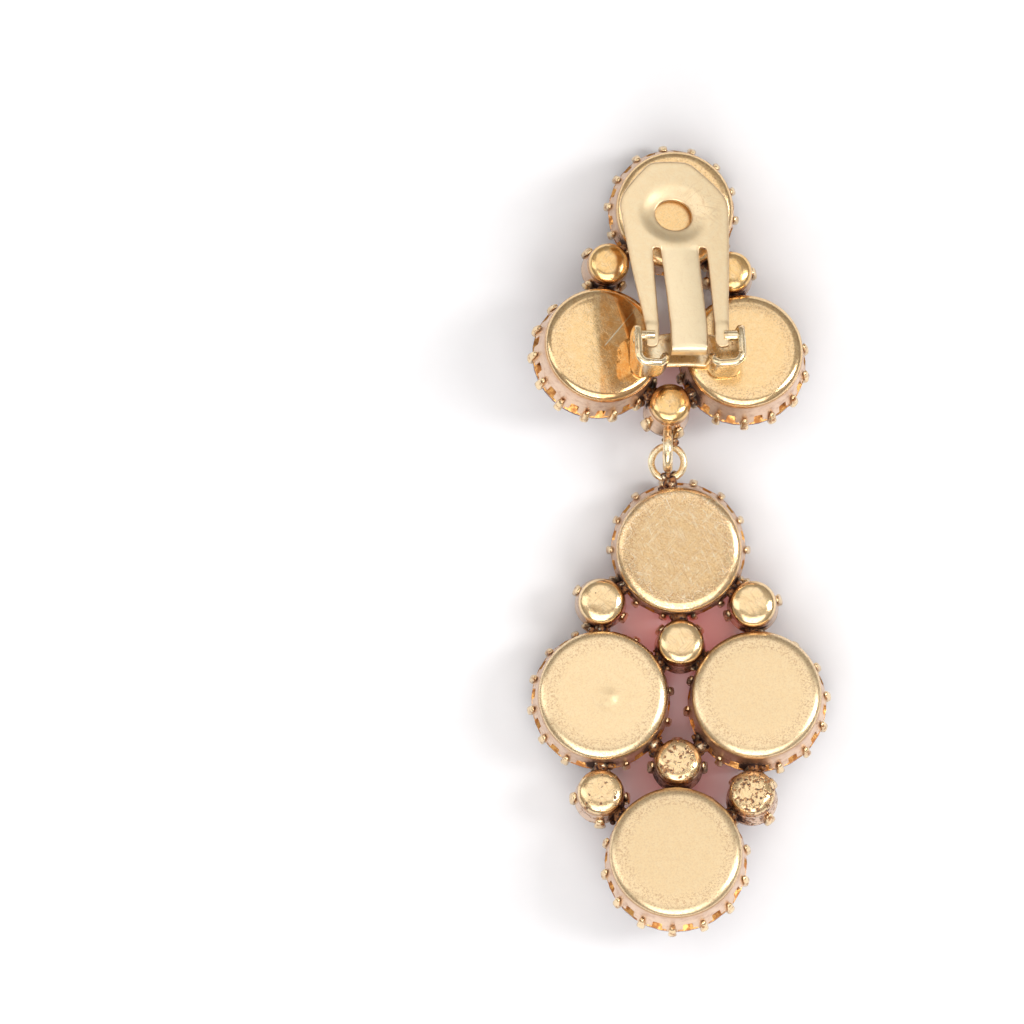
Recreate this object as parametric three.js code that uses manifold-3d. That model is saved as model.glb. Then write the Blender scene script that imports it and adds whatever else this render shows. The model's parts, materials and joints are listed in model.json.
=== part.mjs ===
// A chandelier clip earring of gilt metal and red cut glass, lying on its face: the stones look
// down at the surface and the gilt backs of their cups look up.
// Millimetres and degrees. +Z is up, +Y runs from the drop to the clip end, and the origin is
// under the middle of the whole earring.
import * as THREE from "three";
import { mergeVertices } from "three/addons/utils/BufferGeometryUtils.js";
import Module from "manifold-3d";

const wasm = await Module();
wasm.setup();

// Stones: girdle diameters
const TOP_STONE = 11.6;
const TOP_SMALL_STONE = 3.85;
const DROP_HEAD_STONE = 12.4;
const DROP_SIDE_STONE = 12.8;
const DROP_END_STONE = 13.1;
const DROP_SMALL_STONE = 4.35;
// The cut, as shares of the girdle diameter, and the girdle's own thickness
const TABLE_SHARE = 0.57;
const CROWN_SHARE = 0.148;
const GIRDLE = 0.3;

// Cups: depth from the girdle to the back, and what stands round the mouth
const LARGE_CUP_DEPTH = 5.0;
const SMALL_CUP_DEPTH = 4.3;
const CUP_WALL = 0.25;
const BACK_PLATE = 0.35;
const SEAT_CLEARANCE = 0.08;
const LARGE_TAPER = 0.63; // how much narrower a cup is at its back than at its mouth
const SMALL_TAPER = 0.39;
const LARGE_RIM = 0.6; // height of the rounded edge of a flat back
const SMALL_DOME = 1.2; // height of a small cup's domed back
const PRONG_WIDTH = 0.62;
const PRONG_PROUD = 0.3; // how far a prong stands out from the mouth
const PRONG_HEIGHT = 1.3; // how far up the wall it starts
const PRONG_HOOK = 0.55; // how far it reaches in over the stone
const PRONG_TIP = 0.42; // metal over the girdle's front edge
const NOTCH_WIDTH = 0.8;
const NOTCH_HEIGHT = 0.9;
const NOTCH_CROWN = 0.55; // width at a notch's top as a share of NOTCH_WIDTH

// Spaces between neighbouring cups, measured between their mouths
const TOP_PAIR_GAP = 2.0;
const TOP_TIP_GAP = 3.7;
const DROP_PAIR_GAP = 1.6;
const DROP_HEAD_GAP = 3.25;
const DROP_END_GAP = 3.5;
const TOP_TIP_ASIDE = -0.35; // the end cups sit a little to one side of their pair's middle
const DROP_HEAD_ASIDE = -0.35;
const TOP_TURN = -2.6; // each cluster lies a little turned
const DROP_TURN = -1.2;
const SOLDER = 0.62; // radius of a bead of solder

// Loop on the upper cluster and ring on the drop
const LOOP_RADIUS = 1.75; // to the middle of the wire
const LOOP_WIRE = 0.95;
const LOOP_RISE = 0.5; // the loop's centre lies this much higher than the ring
const RING_RADIUS = 1.57;
const RING_WIRE = 0.7;
const RING_HEIGHT = 5.2;
const RING_FOOT = 0.5; // solder between the ring and its cup
const RING_ASIDE = -1.08; // the ring is soldered a little to one side of its cup's middle
const LINK_GAP = 0.28; // between the loop's wire and the ring's

// Clip: a base strip with two hooked ears, and a paddle hinged between them
const BASE_LENGTH = 10.4;
const BASE_WIDTH = 3.3;
const BASE_THICKNESS = 0.6;
const BASE_BITE = 0.2; // depth soldered into the cups' backs
const CLIP_ACROSS = 0.95; // place of the base's middle from the middle of the two cups
const CLIP_ALONG = -0.5;
const EAR_SHEET = 0.45;
const EAR_WIDTH = 3.15;
const EAR_BACK = 2.3; // reach of an ear behind the hinge
const EAR_FRONT = 1.2;
const EAR_OVER = 0.95; // metal over the hinge
const EAR_BEND = 1.1;
const EAR_STUB = 0.55; // the inner arm of an ear ends this far past its bend
const HINGE_HEIGHT = 3.6;
const HINGE_ALONG = 0.4; // from the middle of the base
const HINGE_PIN = 1.04;
const HINGE_CLEARANCE = 0.1;
const PADDLE_LENGTH = 17.3; // from the hinge to the tip
const PADDLE_WIDTH = 10.5;
const PADDLE_SHEET = 0.5;
const PADDLE_PITCH = 1.7; // tip up from the base's own plane
const PADDLE_SKEW = 3.4;
const LEG_END = 1.2; // metal behind the hinge
const LEG_WIDTH = 1.05;
const LEG_GAP = 0.28; // between a leg and the ear's inner wall
const SLOT_LENGTH = 8.7; // from the hinge towards the tip
const SLOT_WIDTH = 0.85;
const TONGUE_WIDTH = 3.2;
const TONGUE_LIP = 1.3; // folded down at the tongue's end
const HOLE_LENGTH = 3.0;
const HOLE_WIDTH = 3.5;
const HOLE_FROM_TIP = 5.5;

// Half widths of the paddle as shares of PADDLE_WIDTH, against the distance from its tip as
// shares of PADDLE_LENGTH: a flattened round top, hollow shoulders and long tapering sides.
const PADDLE_OUTLINE = [
  { fromTip: 0.0, half: 0.1 },
  { fromTip: 0.012, half: 0.19 },
  { fromTip: 0.045, half: 0.25 },
  { fromTip: 0.095, half: 0.335 },
  { fromTip: 0.155, half: 0.425 },
  { fromTip: 0.205, half: 0.48 },
  { fromTip: 0.25, half: 0.5 },
  { fromTip: 0.32, half: 0.492 },
];

// How fine the round shapes are
const LARGE_SIDES = 28;
const SMALL_SIDES = 12;
const SMALL_STONE_SIDES = 8;

const UP = new THREE.Vector3(0, 0, 1);
const gilt = { color: 0xe3bd7c, roughness: 0.38, metalness: 1 };
const pinkGilt = { color: 0xdcb184, roughness: 0.35, metalness: 1 };
const garnet = { color: 0x7a0f16, roughness: 0.05, metalness: 0 };

// The two kinds of cup. fill is how much of the inner depth the stone's point takes up, flat is
// the flat part of the back, as a share of its radius, and inner is the sides of stone and seat.
const LARGE = {
  depth: LARGE_CUP_DEPTH,
  taper: LARGE_TAPER,
  backRise: LARGE_RIM,
  backSteps: 2,
  flat: 0.89,
  fill: 0.9,
  prongs: 14,
  sides: LARGE_SIDES,
  inner: LARGE_SIDES / 2,
};
const SMALL = {
  depth: SMALL_CUP_DEPTH,
  taper: SMALL_TAPER,
  backRise: SMALL_DOME,
  backSteps: 3,
  flat: 0.15,
  fill: 0.52,
  prongs: 4,
  sides: SMALL_SIDES,
  inner: SMALL_STONE_SIDES,
};

const rad = THREE.MathUtils.degToRad;

// A closed three.js geometry as a solid for cutting and joining, and back
function toSolid(geometry) {
  const bare = geometry.clone();
  bare.deleteAttribute("normal");
  bare.deleteAttribute("uv");
  const merged = mergeVertices(bare, 1e-4);
  return new wasm.Manifold(
    new wasm.Mesh({
      numProp: 3,
      vertProperties: Float32Array.from(merged.attributes.position.array),
      triVerts: Uint32Array.from(merged.index.array),
    }),
  );
}

function toGeometry(solid) {
  const mesh = solid.getMesh();
  const geometry = new THREE.BufferGeometry();
  geometry.setAttribute("position", new THREE.BufferAttribute(mesh.vertProperties, 3));
  geometry.setIndex(new THREE.BufferAttribute(mesh.triVerts, 1));
  geometry.computeVertexNormals();
  return geometry;
}

function join(solids) {
  return solids.reduce((whole, next) => whole.add(next));
}

// A profile of [radius, height] points turned about Z, with the middle of a side on the X axis
function turned(points, sides) {
  const profile = points.map(([r, z]) => new THREE.Vector2(r, z));
  return new THREE.LatheGeometry(profile, sides, Math.PI / sides).rotateX(Math.PI / 2);
}

// A flat outline of [across, up] points with a thickness, centred on Y = 0 and facing it
function slab(points, thickness) {
  const shape = new THREE.Shape(points.map(([a, b]) => new THREE.Vector2(a, b)));
  return new THREE.ExtrudeGeometry(shape, { depth: thickness, bevelEnabled: false })
    .translate(0, 0, -thickness / 2)
    .rotateX(Math.PI / 2);
}

function mouthRadius(stone) {
  return stone / 2 + SEAT_CLEARANCE + CUP_WALL;
}

// Stone and cup share a frame: the origin is in the middle of the girdle and +Z runs to the back.
function stoneProfile(kind, stone, clearance) {
  const girdle = stone / 2 + clearance;
  const table = (stone / 2) * TABLE_SHARE + clearance;
  const front = -GIRDLE / 2 - stone * CROWN_SHARE - clearance;
  return { girdle, table, front, point: (kind.depth - BACK_PLATE) * kind.fill };
}

function stoneGeometry(kind, stone) {
  const p = stoneProfile(kind, stone, 0);
  const outline = [
    [0, p.front],
    [p.table, p.front],
    [p.girdle, -GIRDLE / 2],
    [p.girdle, GIRDLE / 2],
    [0, p.point],
  ];
  return turned(outline, kind.inner);
}

function cupBody(kind, stone) {
  const mouth = mouthRadius(stone);
  const back = mouth - kind.taper;
  const flat = back * kind.flat;
  const outline = [[0, 0], [mouth, 0]];
  for (let i = 0; i <= kind.backSteps; i++) {
    const t = (i / kind.backSteps) * (Math.PI / 2);
    outline.push([
      flat + (back - flat) * Math.cos(t),
      kind.depth - kind.backRise * (1 - Math.sin(t)),
    ]);
  }
  outline.push([0, kind.depth]);
  return toSolid(turned(outline, kind.sides));
}

function cupHollow(kind, stone) {
  const p = stoneProfile(kind, stone, SEAT_CLEARANCE);
  const back = mouthRadius(stone) - kind.taper - CUP_WALL;
  const floor = kind.depth - BACK_PLATE;
  const outline = [
    [0, p.front],
    [p.table, p.front],
    [p.girdle, -GIRDLE / 2],
    [p.girdle, GIRDLE / 2],
    [back * kind.flat, floor],
    [0, floor],
  ];
  return toSolid(turned(outline, kind.inner));
}

function prong(kind, stone) {
  const mouth = mouthRadius(stone);
  const outer = mouth + PRONG_PROUD;
  const foot = mouth - kind.taper * (PRONG_HEIGHT / kind.depth) - CUP_WALL / 2;
  const tip = stone / 2 - PRONG_HOOK;
  const outline = [
    [foot, PRONG_HEIGHT],
    [tip, GIRDLE / 2],
    [tip, -GIRDLE / 2 - 2 * PRONG_TIP],
    [outer, -GIRDLE / 2 - PRONG_TIP / 2],
  ];
  return slab(outline, PRONG_WIDTH);
}

// An arched notch in the mouth, between two prongs
function notch(stone) {
  const half = NOTCH_WIDTH / 2;
  const outline = [
    [-half, -GIRDLE],
    [half, -GIRDLE],
    [half * NOTCH_CROWN, NOTCH_HEIGHT],
    [-half * NOTCH_CROWN, NOTCH_HEIGHT],
  ];
  const reach = 4 * CUP_WALL;
  return slab(outline, reach).rotateZ(Math.PI / 2).translate(mouthRadius(stone), 0, 0);
}

// A ring of copies round Z
function around(geometry, count, start) {
  const copies = [];
  for (let i = 0; i < count; i++) {
    copies.push(toSolid(geometry.clone().rotateZ(start + (i * 2 * Math.PI) / count)));
  }
  return join(copies);
}

function cupShell(cup) {
  const { kind, stone } = cup;
  let shell = cupBody(kind, stone);
  if (kind === LARGE) {
    const half = Math.PI / kind.prongs;
    shell = shell.subtract(around(notch(stone), kind.prongs, half));
  }
  return shell.add(around(prong(kind, stone), kind.prongs, 0));
}

// Where a cup sits: the middle of its girdle, the way its back faces, and the turn of its prongs
function cupPose(cup) {
  const place = new THREE.Matrix4().makeTranslation(cup.centre);
  const lean = new THREE.Quaternion().setFromUnitVectors(UP, cup.axis);
  const turn = new THREE.Quaternion().setFromAxisAngle(UP, rad(cup.turn));
  return place.multiply(new THREE.Matrix4().makeRotationFromQuaternion(lean.multiply(turn)));
}

function posed(solid, matrix) {
  return solid.transform(matrix.toArray());
}

// How far a leaning stone reaches below the middle of its girdle
function reachBelow(stone, lean) {
  const front = GIRDLE / 2 + stone * CROWN_SHARE;
  return front * Math.cos(lean) + (stone / 2) * TABLE_SHARE * Math.sin(lean);
}

function largeCup(x, y, row) {
  const lean = rad(row.lean);
  const toward = rad(row.toward);
  const z = reachBelow(row.stone, lean) + row.lift;
  const axis = new THREE.Vector3(
    Math.sin(lean) * Math.cos(toward),
    Math.sin(lean) * Math.sin(toward),
    Math.cos(lean),
  );
  return { ...row, kind: LARGE, centre: new THREE.Vector3(x, y, z), axis };
}

// A small cup nestles beside two large ones: at its own gap from each, on the given side of the
// line from the first to the second, with their mean height and lean.
function nestled(a, b, row) {
  const mouth = mouthRadius(row.stone);
  const ra = mouthRadius(a.stone) + mouth + row.gap;
  const rb = mouthRadius(b.stone) + mouth + row.gap;
  const line = new THREE.Vector3(b.centre.x - a.centre.x, b.centre.y - a.centre.y, 0);
  const distance = line.length();
  line.normalize();
  const along = (ra * ra - rb * rb + distance * distance) / (2 * distance);
  const aside = Math.sqrt(ra * ra - along * along) * row.side;
  const centre = new THREE.Vector3(
    a.centre.x + line.x * along - line.y * aside,
    a.centre.y + line.y * along + line.x * aside,
    (a.centre.z + b.centre.z) / 2,
  );
  const axis = a.axis.clone().add(b.axis).normalize();
  return { ...row, kind: SMALL, centre, axis, beside: [a, b] };
}

// Places of a pair of cups and of one cup above or below it, before the cluster is turned
function spread(stone, gap) {
  return mouthRadius(stone) + gap / 2;
}

function overPair(halfPair, pairStone, stone, gap) {
  const slant = mouthRadius(pairStone) + mouthRadius(stone) + gap;
  return Math.sqrt(slant * slant - halfPair * halfPair);
}

function turnedAbout(x, y, turn) {
  const point = new THREE.Vector2(x, y).rotateAround(new THREE.Vector2(), rad(turn));
  return [point.x, point.y];
}

// Upper cluster, about the middle of its lower pair
const topHalf = spread(TOP_STONE, TOP_PAIR_GAP);
const topUp = overPair(topHalf, TOP_STONE, TOP_STONE, TOP_TIP_GAP);
const topRows = {
  tip: { name: "top_stone_tip", stone: TOP_STONE, lean: 4.7, toward: 35, lift: 0, turn: 20 },
  left: { name: "top_stone_left", stone: TOP_STONE, lean: 19.7, toward: 56, lift: 2.4, turn: 2 },
  right: { name: "top_stone_right", stone: TOP_STONE, lean: 17.1, toward: 85, lift: 0.9, turn: 14 },
};
const tip = largeCup(...turnedAbout(TOP_TIP_ASIDE, topUp, TOP_TURN), topRows.tip);
const left = largeCup(...turnedAbout(-topHalf, 0, TOP_TURN), topRows.left);
const right = largeCup(...turnedAbout(topHalf, 0, TOP_TURN), topRows.right);
function smallTop(name, side, gap, turn) {
  return { name, stone: TOP_SMALL_STONE, side, gap, turn };
}
const topLeft = nestled(tip, left, smallTop("top_small_left", -1, 0.12, 45));
const topRight = nestled(tip, right, smallTop("top_small_right", 1, 0.02, 12));
const low = nestled(left, right, smallTop("top_small_low", -1, 0.38, 30));
const topSmall = [topLeft, topRight, low];
const topCups = [tip, left, right, ...topSmall];

// Loop: its far side sinks into the wall of the lowest small cup
const loopZ = RING_HEIGHT + LOOP_RISE;
const lowAt = (loopZ - low.centre.z) / low.axis.z;
const lowAxis = low.centre.clone().addScaledVector(low.axis, lowAt);
const lowWall = mouthRadius(low.stone) - SMALL_TAPER * (lowAt / SMALL_CUP_DEPTH);
const loopY = lowAxis.y - lowWall - LOOP_RADIUS + CUP_WALL / 2;
const loopCentre = new THREE.Vector3(lowAxis.x, loopY, loopZ);

// Ring: the loop's wire passes through it close to its lower side
const loopCross = Math.sqrt(LOOP_RADIUS * LOOP_RADIUS - LOOP_RISE * LOOP_RISE);
const ringY = loopY - loopCross - LOOP_WIRE / 2 - LINK_GAP - RING_WIRE / 2 + RING_RADIUS;
const ringCentre = new THREE.Vector3(loopCentre.x, ringY, RING_HEIGHT);

// Drop, about the middle of its side pair, hung so that its first cup meets the ring's foot
const dropHalf = spread(DROP_SIDE_STONE, DROP_PAIR_GAP);
const headUp = overPair(dropHalf, DROP_SIDE_STONE, DROP_HEAD_STONE, DROP_HEAD_GAP);
const endDown = overPair(dropHalf, DROP_SIDE_STONE, DROP_END_STONE, DROP_END_GAP);
const dropRows = {
  head: { name: "drop_stone_head", stone: DROP_HEAD_STONE, lean: 0, toward: 0, lift: 0, turn: 0 },
  left: { name: "drop_stone_left", stone: DROP_SIDE_STONE, lean: 8.8, toward: 73, lift: 0, turn: 8 },
  right: { name: "drop_stone_right", stone: DROP_SIDE_STONE, lean: 13.7, toward: 96, lift: 0, turn: 6 },
  end: { name: "drop_stone_end", stone: DROP_END_STONE, lean: 15.5, toward: 93, lift: 1.7, turn: 10 },
};
const headAt = (RING_HEIGHT - reachBelow(DROP_HEAD_STONE, 0)) / LARGE_CUP_DEPTH;
const headWall = mouthRadius(DROP_HEAD_STONE) - LARGE_TAPER * headAt;
const headReach = headWall + RING_FOOT + RING_RADIUS + RING_WIRE / 2;
const headX = ringCentre.x - RING_ASIDE;
const headY = ringCentre.y - Math.sqrt(headReach * headReach - RING_ASIDE * RING_ASIDE);
const [headOffX, headOffY] = turnedAbout(DROP_HEAD_ASIDE, headUp, DROP_TURN);
function dropCup(x, y, row) {
  const [px, py] = turnedAbout(x, y, DROP_TURN);
  return largeCup(headX - headOffX + px, headY - headOffY + py, row);
}
const head = dropCup(DROP_HEAD_ASIDE, headUp, dropRows.head);
const dropLeft = dropCup(-dropHalf, 0, dropRows.left);
const dropRight = dropCup(dropHalf, 0, dropRows.right);
const end = dropCup(0, -endDown, dropRows.end);
function smallDrop(name, side, gap, turn) {
  return { name, stone: DROP_SMALL_STONE, side, gap, turn };
}
const headLeft = nestled(head, dropLeft, smallDrop("drop_small_head_left", -1, 0.1, 60));
const headRight = nestled(head, dropRight, smallDrop("drop_small_head_right", 1, 0.05, 17));
const middleUp = nestled(dropLeft, dropRight, smallDrop("drop_small_middle_up", 1, -0.08, 46));
const middleLow = nestled(dropLeft, dropRight, smallDrop("drop_small_middle_low", -1, 0.55, 0));
const endLeft = nestled(dropLeft, end, smallDrop("drop_small_end_left", -1, 0.15, 0));
const endRight = nestled(dropRight, end, smallDrop("drop_small_end_right", 1, 0.05, 41));
const dropSmall = [headLeft, headRight, middleUp, middleLow, endLeft, endRight];
const dropCups = [head, dropLeft, dropRight, end, ...dropSmall];

// A bead of solder between two cups, at the height of the small one's wall
function bead(small, large) {
  const level = small.centre.clone().addScaledVector(small.axis, small.kind.depth * 0.35);
  const up = (level.z - large.centre.z) / large.axis.z;
  const other = large.centre.clone().addScaledVector(large.axis, up);
  const across = other.clone().sub(level).setZ(0);
  const distance = across.length();
  const near = mouthRadius(small.stone);
  const far = mouthRadius(large.stone) - large.kind.taper * (up / large.kind.depth);
  const middle = (near + distance - far) / 2;
  const halfSpan = Math.max((distance - far - near) / 2, 0) + SOLDER;
  const place = level.add(across.normalize().multiplyScalar(middle));
  return toSolid(
    new THREE.SphereGeometry(1, 6, 4)
      .scale(halfSpan, SOLDER, 1.6 * SOLDER)
      .rotateZ(Math.atan2(across.y, across.x))
      .translate(place.x, place.y, place.z),
  );
}

function soldered(smallCups, extra) {
  const beads = [];
  for (const small of smallCups) {
    for (const large of small.beside) beads.push(bead(small, large));
  }
  return join([...beads, ...extra.map(([small, large]) => bead(small, large))]);
}

// Solder runs into the closed pockets that are left where beads, prongs and walls meet.
function pocketsFilled(solid) {
  return join(solid.decompose().filter((body) => body.volume() > 0));
}

// All cups, beads and fittings of a cluster as one solid, hollowed for the stones
function setting(cups, fittings) {
  const shells = cups.map((cup) => posed(cupShell(cup), cupPose(cup)));
  const hollows = cups.map((cup) => posed(cupHollow(cup.kind, cup.stone), cupPose(cup)));
  return pocketsFilled(join([...shells, ...fittings]).subtract(join(hollows)));
}

function wireRing(radius, wire) {
  return new THREE.TorusGeometry(radius, wire / 2, 6, 14);
}

function loopSolid() {
  const { x, y, z } = loopCentre;
  return toSolid(wireRing(LOOP_RADIUS, LOOP_WIRE).rotateY(Math.PI / 2).translate(x, y, z));
}

function loopFoot() {
  const size = LOOP_WIRE * 0.62;
  const z = loopCentre.z;
  const y = lowAxis.y - lowWall;
  return toSolid(new THREE.SphereGeometry(size, 8, 4).scale(1, 0.8, 1.5).translate(lowAxis.x, y, z));
}

function ringSolid() {
  const { x, y, z } = ringCentre;
  return toSolid(wireRing(RING_RADIUS, RING_WIRE).translate(x, y, z));
}

// Solder that fills the foot of the ring, from inside its wire to inside the cup's wall
function ringFoot() {
  const toRing = ringCentre.clone().sub(head.centre).setZ(0).normalize();
  const at = head.centre.clone().addScaledVector(toRing, headWall + RING_FOOT / 2);
  return toSolid(
    new THREE.SphereGeometry(1, 8, 4)
      .scale(RING_FOOT / 2 + CUP_WALL + RING_WIRE / 4, RING_WIRE * 0.95, RING_WIRE * 0.8)
      .rotateZ(Math.atan2(toRing.y, toRing.x))
      .translate(at.x, at.y, RING_HEIGHT),
  );
}

// Height of a cup's flat back over a point of the plan
function backHeight(cup, x, y) {
  const back = cup.centre.clone().addScaledVector(cup.axis, cup.kind.depth);
  return back.z - (cup.axis.x * (x - back.x) + cup.axis.y * (y - back.y)) / cup.axis.z;
}

// The clip's frame: X along the hinge, +Z out of the backs of the two cups that it bridges
const seatLeft = left.centre.clone().addScaledVector(left.axis, LARGE_CUP_DEPTH);
const seatRight = right.centre.clone().addScaledVector(right.axis, LARGE_CUP_DEPTH);
const clipX = (seatLeft.x + seatRight.x) / 2 + CLIP_ACROSS;
const clipY = (seatLeft.y + seatRight.y) / 2 + CLIP_ALONG;
const footLeft = new THREE.Vector3(clipX - BASE_LENGTH * 0.4, clipY, 0);
const footRight = new THREE.Vector3(clipX + BASE_LENGTH * 0.4, clipY, 0);
footLeft.z = backHeight(left, footLeft.x, footLeft.y);
footRight.z = backHeight(right, footRight.x, footRight.y);
const clipAlongX = footRight.clone().sub(footLeft).normalize();
const clipUp = left.axis.clone().add(right.axis);
clipUp.addScaledVector(clipAlongX, -clipUp.dot(clipAlongX)).normalize();
const clipAlongY = clipUp.clone().cross(clipAlongX);
const clipOrigin = footLeft.clone().lerp(footRight, 0.5).addScaledVector(clipUp, -BASE_BITE);
const clipFrame = new THREE.Matrix4()
  .makeBasis(clipAlongX, clipAlongY, clipUp)
  .setPosition(clipOrigin);
const hingeZ = BASE_BITE + HINGE_HEIGHT;

// An outline in the clip's own plane given as points [x, y], raised from z0 to z1
function plate(shape, z0, z1) {
  const options = { depth: z1 - z0, bevelEnabled: false, curveSegments: 4 };
  return new THREE.ExtrudeGeometry(shape, options).translate(0, 0, z0);
}

function baseStrip() {
  const half = BASE_LENGTH / 2;
  const shape = new THREE.Shape();
  shape.moveTo(-half, BASE_WIDTH / 2);
  shape.lineTo(-half, -BASE_WIDTH / 2);
  shape.quadraticCurveTo(0, -BASE_WIDTH * 0.25, half, -BASE_WIDTH / 2);
  shape.lineTo(half, BASE_WIDTH / 2);
  shape.closePath();
  return toSolid(plate(shape, 0, BASE_THICKNESS + BASE_BITE));
}

// A hook of sheet: a long outer arm, a closed bend behind the hinge and a short inner arm
function ear(side) {
  const outer = BASE_LENGTH / 2;
  const inner = outer - EAR_WIDTH;
  const wall = EAR_SHEET;
  const y0 = HINGE_ALONG - EAR_BACK;
  const y1 = HINGE_ALONG + EAR_FRONT;
  const r = EAR_BEND;
  const stub = y0 + r + EAR_STUB;
  const shape = new THREE.Shape();
  shape.moveTo(inner, stub);
  shape.lineTo(inner, y0 + r);
  shape.absarc(inner + r, y0 + r, r, Math.PI, 1.5 * Math.PI);
  shape.lineTo(outer - r, y0);
  shape.absarc(outer - r, y0 + r, r, 1.5 * Math.PI, 2 * Math.PI);
  shape.lineTo(outer, y1);
  shape.lineTo(outer - wall, y1);
  shape.absarc(outer - r, y0 + r, r - wall, 2 * Math.PI, 1.5 * Math.PI, true);
  shape.absarc(inner + r, y0 + r, r - wall, 1.5 * Math.PI, Math.PI, true);
  shape.lineTo(inner + wall, stub);
  shape.closePath();
  const height = hingeZ + EAR_OVER;
  const sheet = toSolid(plate(shape, BASE_BITE, height));
  const bore = new THREE.CylinderGeometry(1, 1, 3 * wall, 12)
    .scale(HINGE_PIN / 2 + HINGE_CLEARANCE, 1, HINGE_PIN / 2 + HINGE_CLEARANCE)
    .rotateZ(Math.PI / 2)
    .translate(outer - wall / 2, HINGE_ALONG, hingeZ);
  const made = sheet.subtract(toSolid(bore));
  return side > 0 ? made : made.mirror([1, 0, 0]);
}

function clipFittings() {
  return [baseStrip(), ear(1), ear(-1)].map((solid) => posed(solid, clipFrame));
}

// The paddle in its own frame: the hinge is the X axis and the tip lies along +Y
function skewed(x, y) {
  return [x - Math.max(y - LEG_END, 0) * Math.tan(rad(PADDLE_SKEW)), y];
}

const legInner = BASE_LENGTH / 2 - EAR_WIDTH + EAR_SHEET + LEG_GAP;
const legOuter = legInner + LEG_WIDTH;

function paddleOutline() {
  const side = PADDLE_OUTLINE.map((row) => [
    row.half * PADDLE_WIDTH,
    PADDLE_LENGTH * (1 - row.fromTip),
  ]);
  side.push([legOuter, LEG_END]);
  side.push([legOuter, -LEG_END]);
  const mirrored = side.map(([x, y]) => [-x, y]).reverse();
  const outline = [...mirrored, ...side].map(([x, y]) => skewed(x, y));
  return new THREE.Shape(outline.map(([x, y]) => new THREE.Vector2(x, y)));
}

// A slot frees the tongue from a leg: narrow with a round end towards the tip, open at the hinge
function slotShape(side) {
  const tongue = TONGUE_WIDTH / 2;
  const top = SLOT_LENGTH - SLOT_WIDTH / 2;
  const points = [
    [tongue, -2 * LEG_END],
    [legInner, -2 * LEG_END],
    [legInner, LEG_END],
    [tongue + SLOT_WIDTH, top],
    [tongue + SLOT_WIDTH * 0.75, SLOT_LENGTH],
    [tongue + SLOT_WIDTH * 0.25, SLOT_LENGTH],
    [tongue, top],
  ];
  const turnedPoints = points.map(([x, y]) => skewed(side * x, y));
  if (side < 0) turnedPoints.reverse();
  return new THREE.Shape(turnedPoints.map(([x, y]) => new THREE.Vector2(x, y)));
}

function tongueLip() {
  const half = TONGUE_WIDTH / 2;
  const lip = new THREE.BoxGeometry(2 * half, PADDLE_SHEET, TONGUE_LIP);
  lip.translate(0, -LEG_END - PADDLE_SHEET / 2, PADDLE_SHEET / 2 - TONGUE_LIP / 2);
  return toSolid(lip);
}

function hingePin(side) {
  const from = legOuter - LEG_WIDTH / 2;
  const to = BASE_LENGTH / 2 + EAR_SHEET / 3;
  const pin = new THREE.CylinderGeometry(HINGE_PIN / 2, HINGE_PIN / 2, to - from, 12);
  return toSolid(pin.rotateZ(Math.PI / 2).translate((side * (from + to)) / 2, 0, 0));
}

function paddleSolid() {
  const t = PADDLE_SHEET / 2;
  const [holeX, holeY] = skewed(0, PADDLE_LENGTH - HOLE_FROM_TIP);
  const hole = new THREE.CylinderGeometry(1, 1, 4 * t, 16)
    .rotateX(Math.PI / 2)
    .scale(HOLE_WIDTH / 2, HOLE_LENGTH / 2, 1)
    .translate(holeX, holeY, 0);
  const cuts = join([1, -1].map((side) => toSolid(plate(slotShape(side), -2 * t, 2 * t))));
  const blade = toSolid(plate(paddleOutline(), -t, t)).subtract(cuts).subtract(toSolid(hole));
  return join([blade, tongueLip(), hingePin(1), hingePin(-1)]);
}

function mesh(name, geometry, finish) {
  const made = new THREE.Mesh(geometry, new THREE.MeshStandardMaterial(finish));
  made.name = name;
  return made;
}

function stoneMesh(cup) {
  const made = mesh(cup.name, stoneGeometry(cup.kind, cup.stone), garnet);
  made.applyMatrix4(cupPose(cup));
  return made;
}

const topFittings = [soldered(topSmall, []), loopSolid(), loopFoot(), ...clipFittings()];
const dropExtra = [
  [middleUp, head],
  [middleLow, end],
];
const dropFittings = [soldered(dropSmall, dropExtra), ringSolid(), ringFoot()];

const upper = new THREE.Group();
upper.add(mesh("top_setting", toGeometry(setting(topCups, topFittings)), gilt));
upper.add(...topCups.map(stoneMesh));

const clip = new THREE.Group();
clip.applyMatrix4(clipFrame);
const paddle = mesh("clip_paddle", toGeometry(paddleSolid()), pinkGilt);
paddle.position.set(0, HINGE_ALONG, hingeZ);
paddle.rotation.x = rad(PADDLE_PITCH);
clip.add(paddle);
upper.add(clip);

const drop = new THREE.Group();
drop.add(mesh("drop_setting", toGeometry(setting(dropCups, dropFittings)), gilt));
drop.add(...dropCups.map(stoneMesh));

// The whole is moved so that the origin is under its middle.
const earring = new THREE.Group();
earring.add(upper, drop);
earring.updateMatrixWorld(true);
const box = new THREE.Box3().setFromObject(earring, true);
const middle = box.getCenter(new THREE.Vector3());
earring.position.set(-middle.x, -middle.y, -box.min.z);

export default earring;
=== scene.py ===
"""A chandelier clip earring of gilt metal and red cut glass, lying on its face.

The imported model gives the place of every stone. The cups, claws, solder, links and clip are
built round those places, each on the body that it moves with. All lengths are in metres.
"""

import json
import math

import bmesh
import bpy
import numpy as np
from bpy.props import FloatProperty, FloatVectorProperty, IntProperty, PointerProperty
from mathutils import Matrix, Vector, geometry, noise


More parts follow.
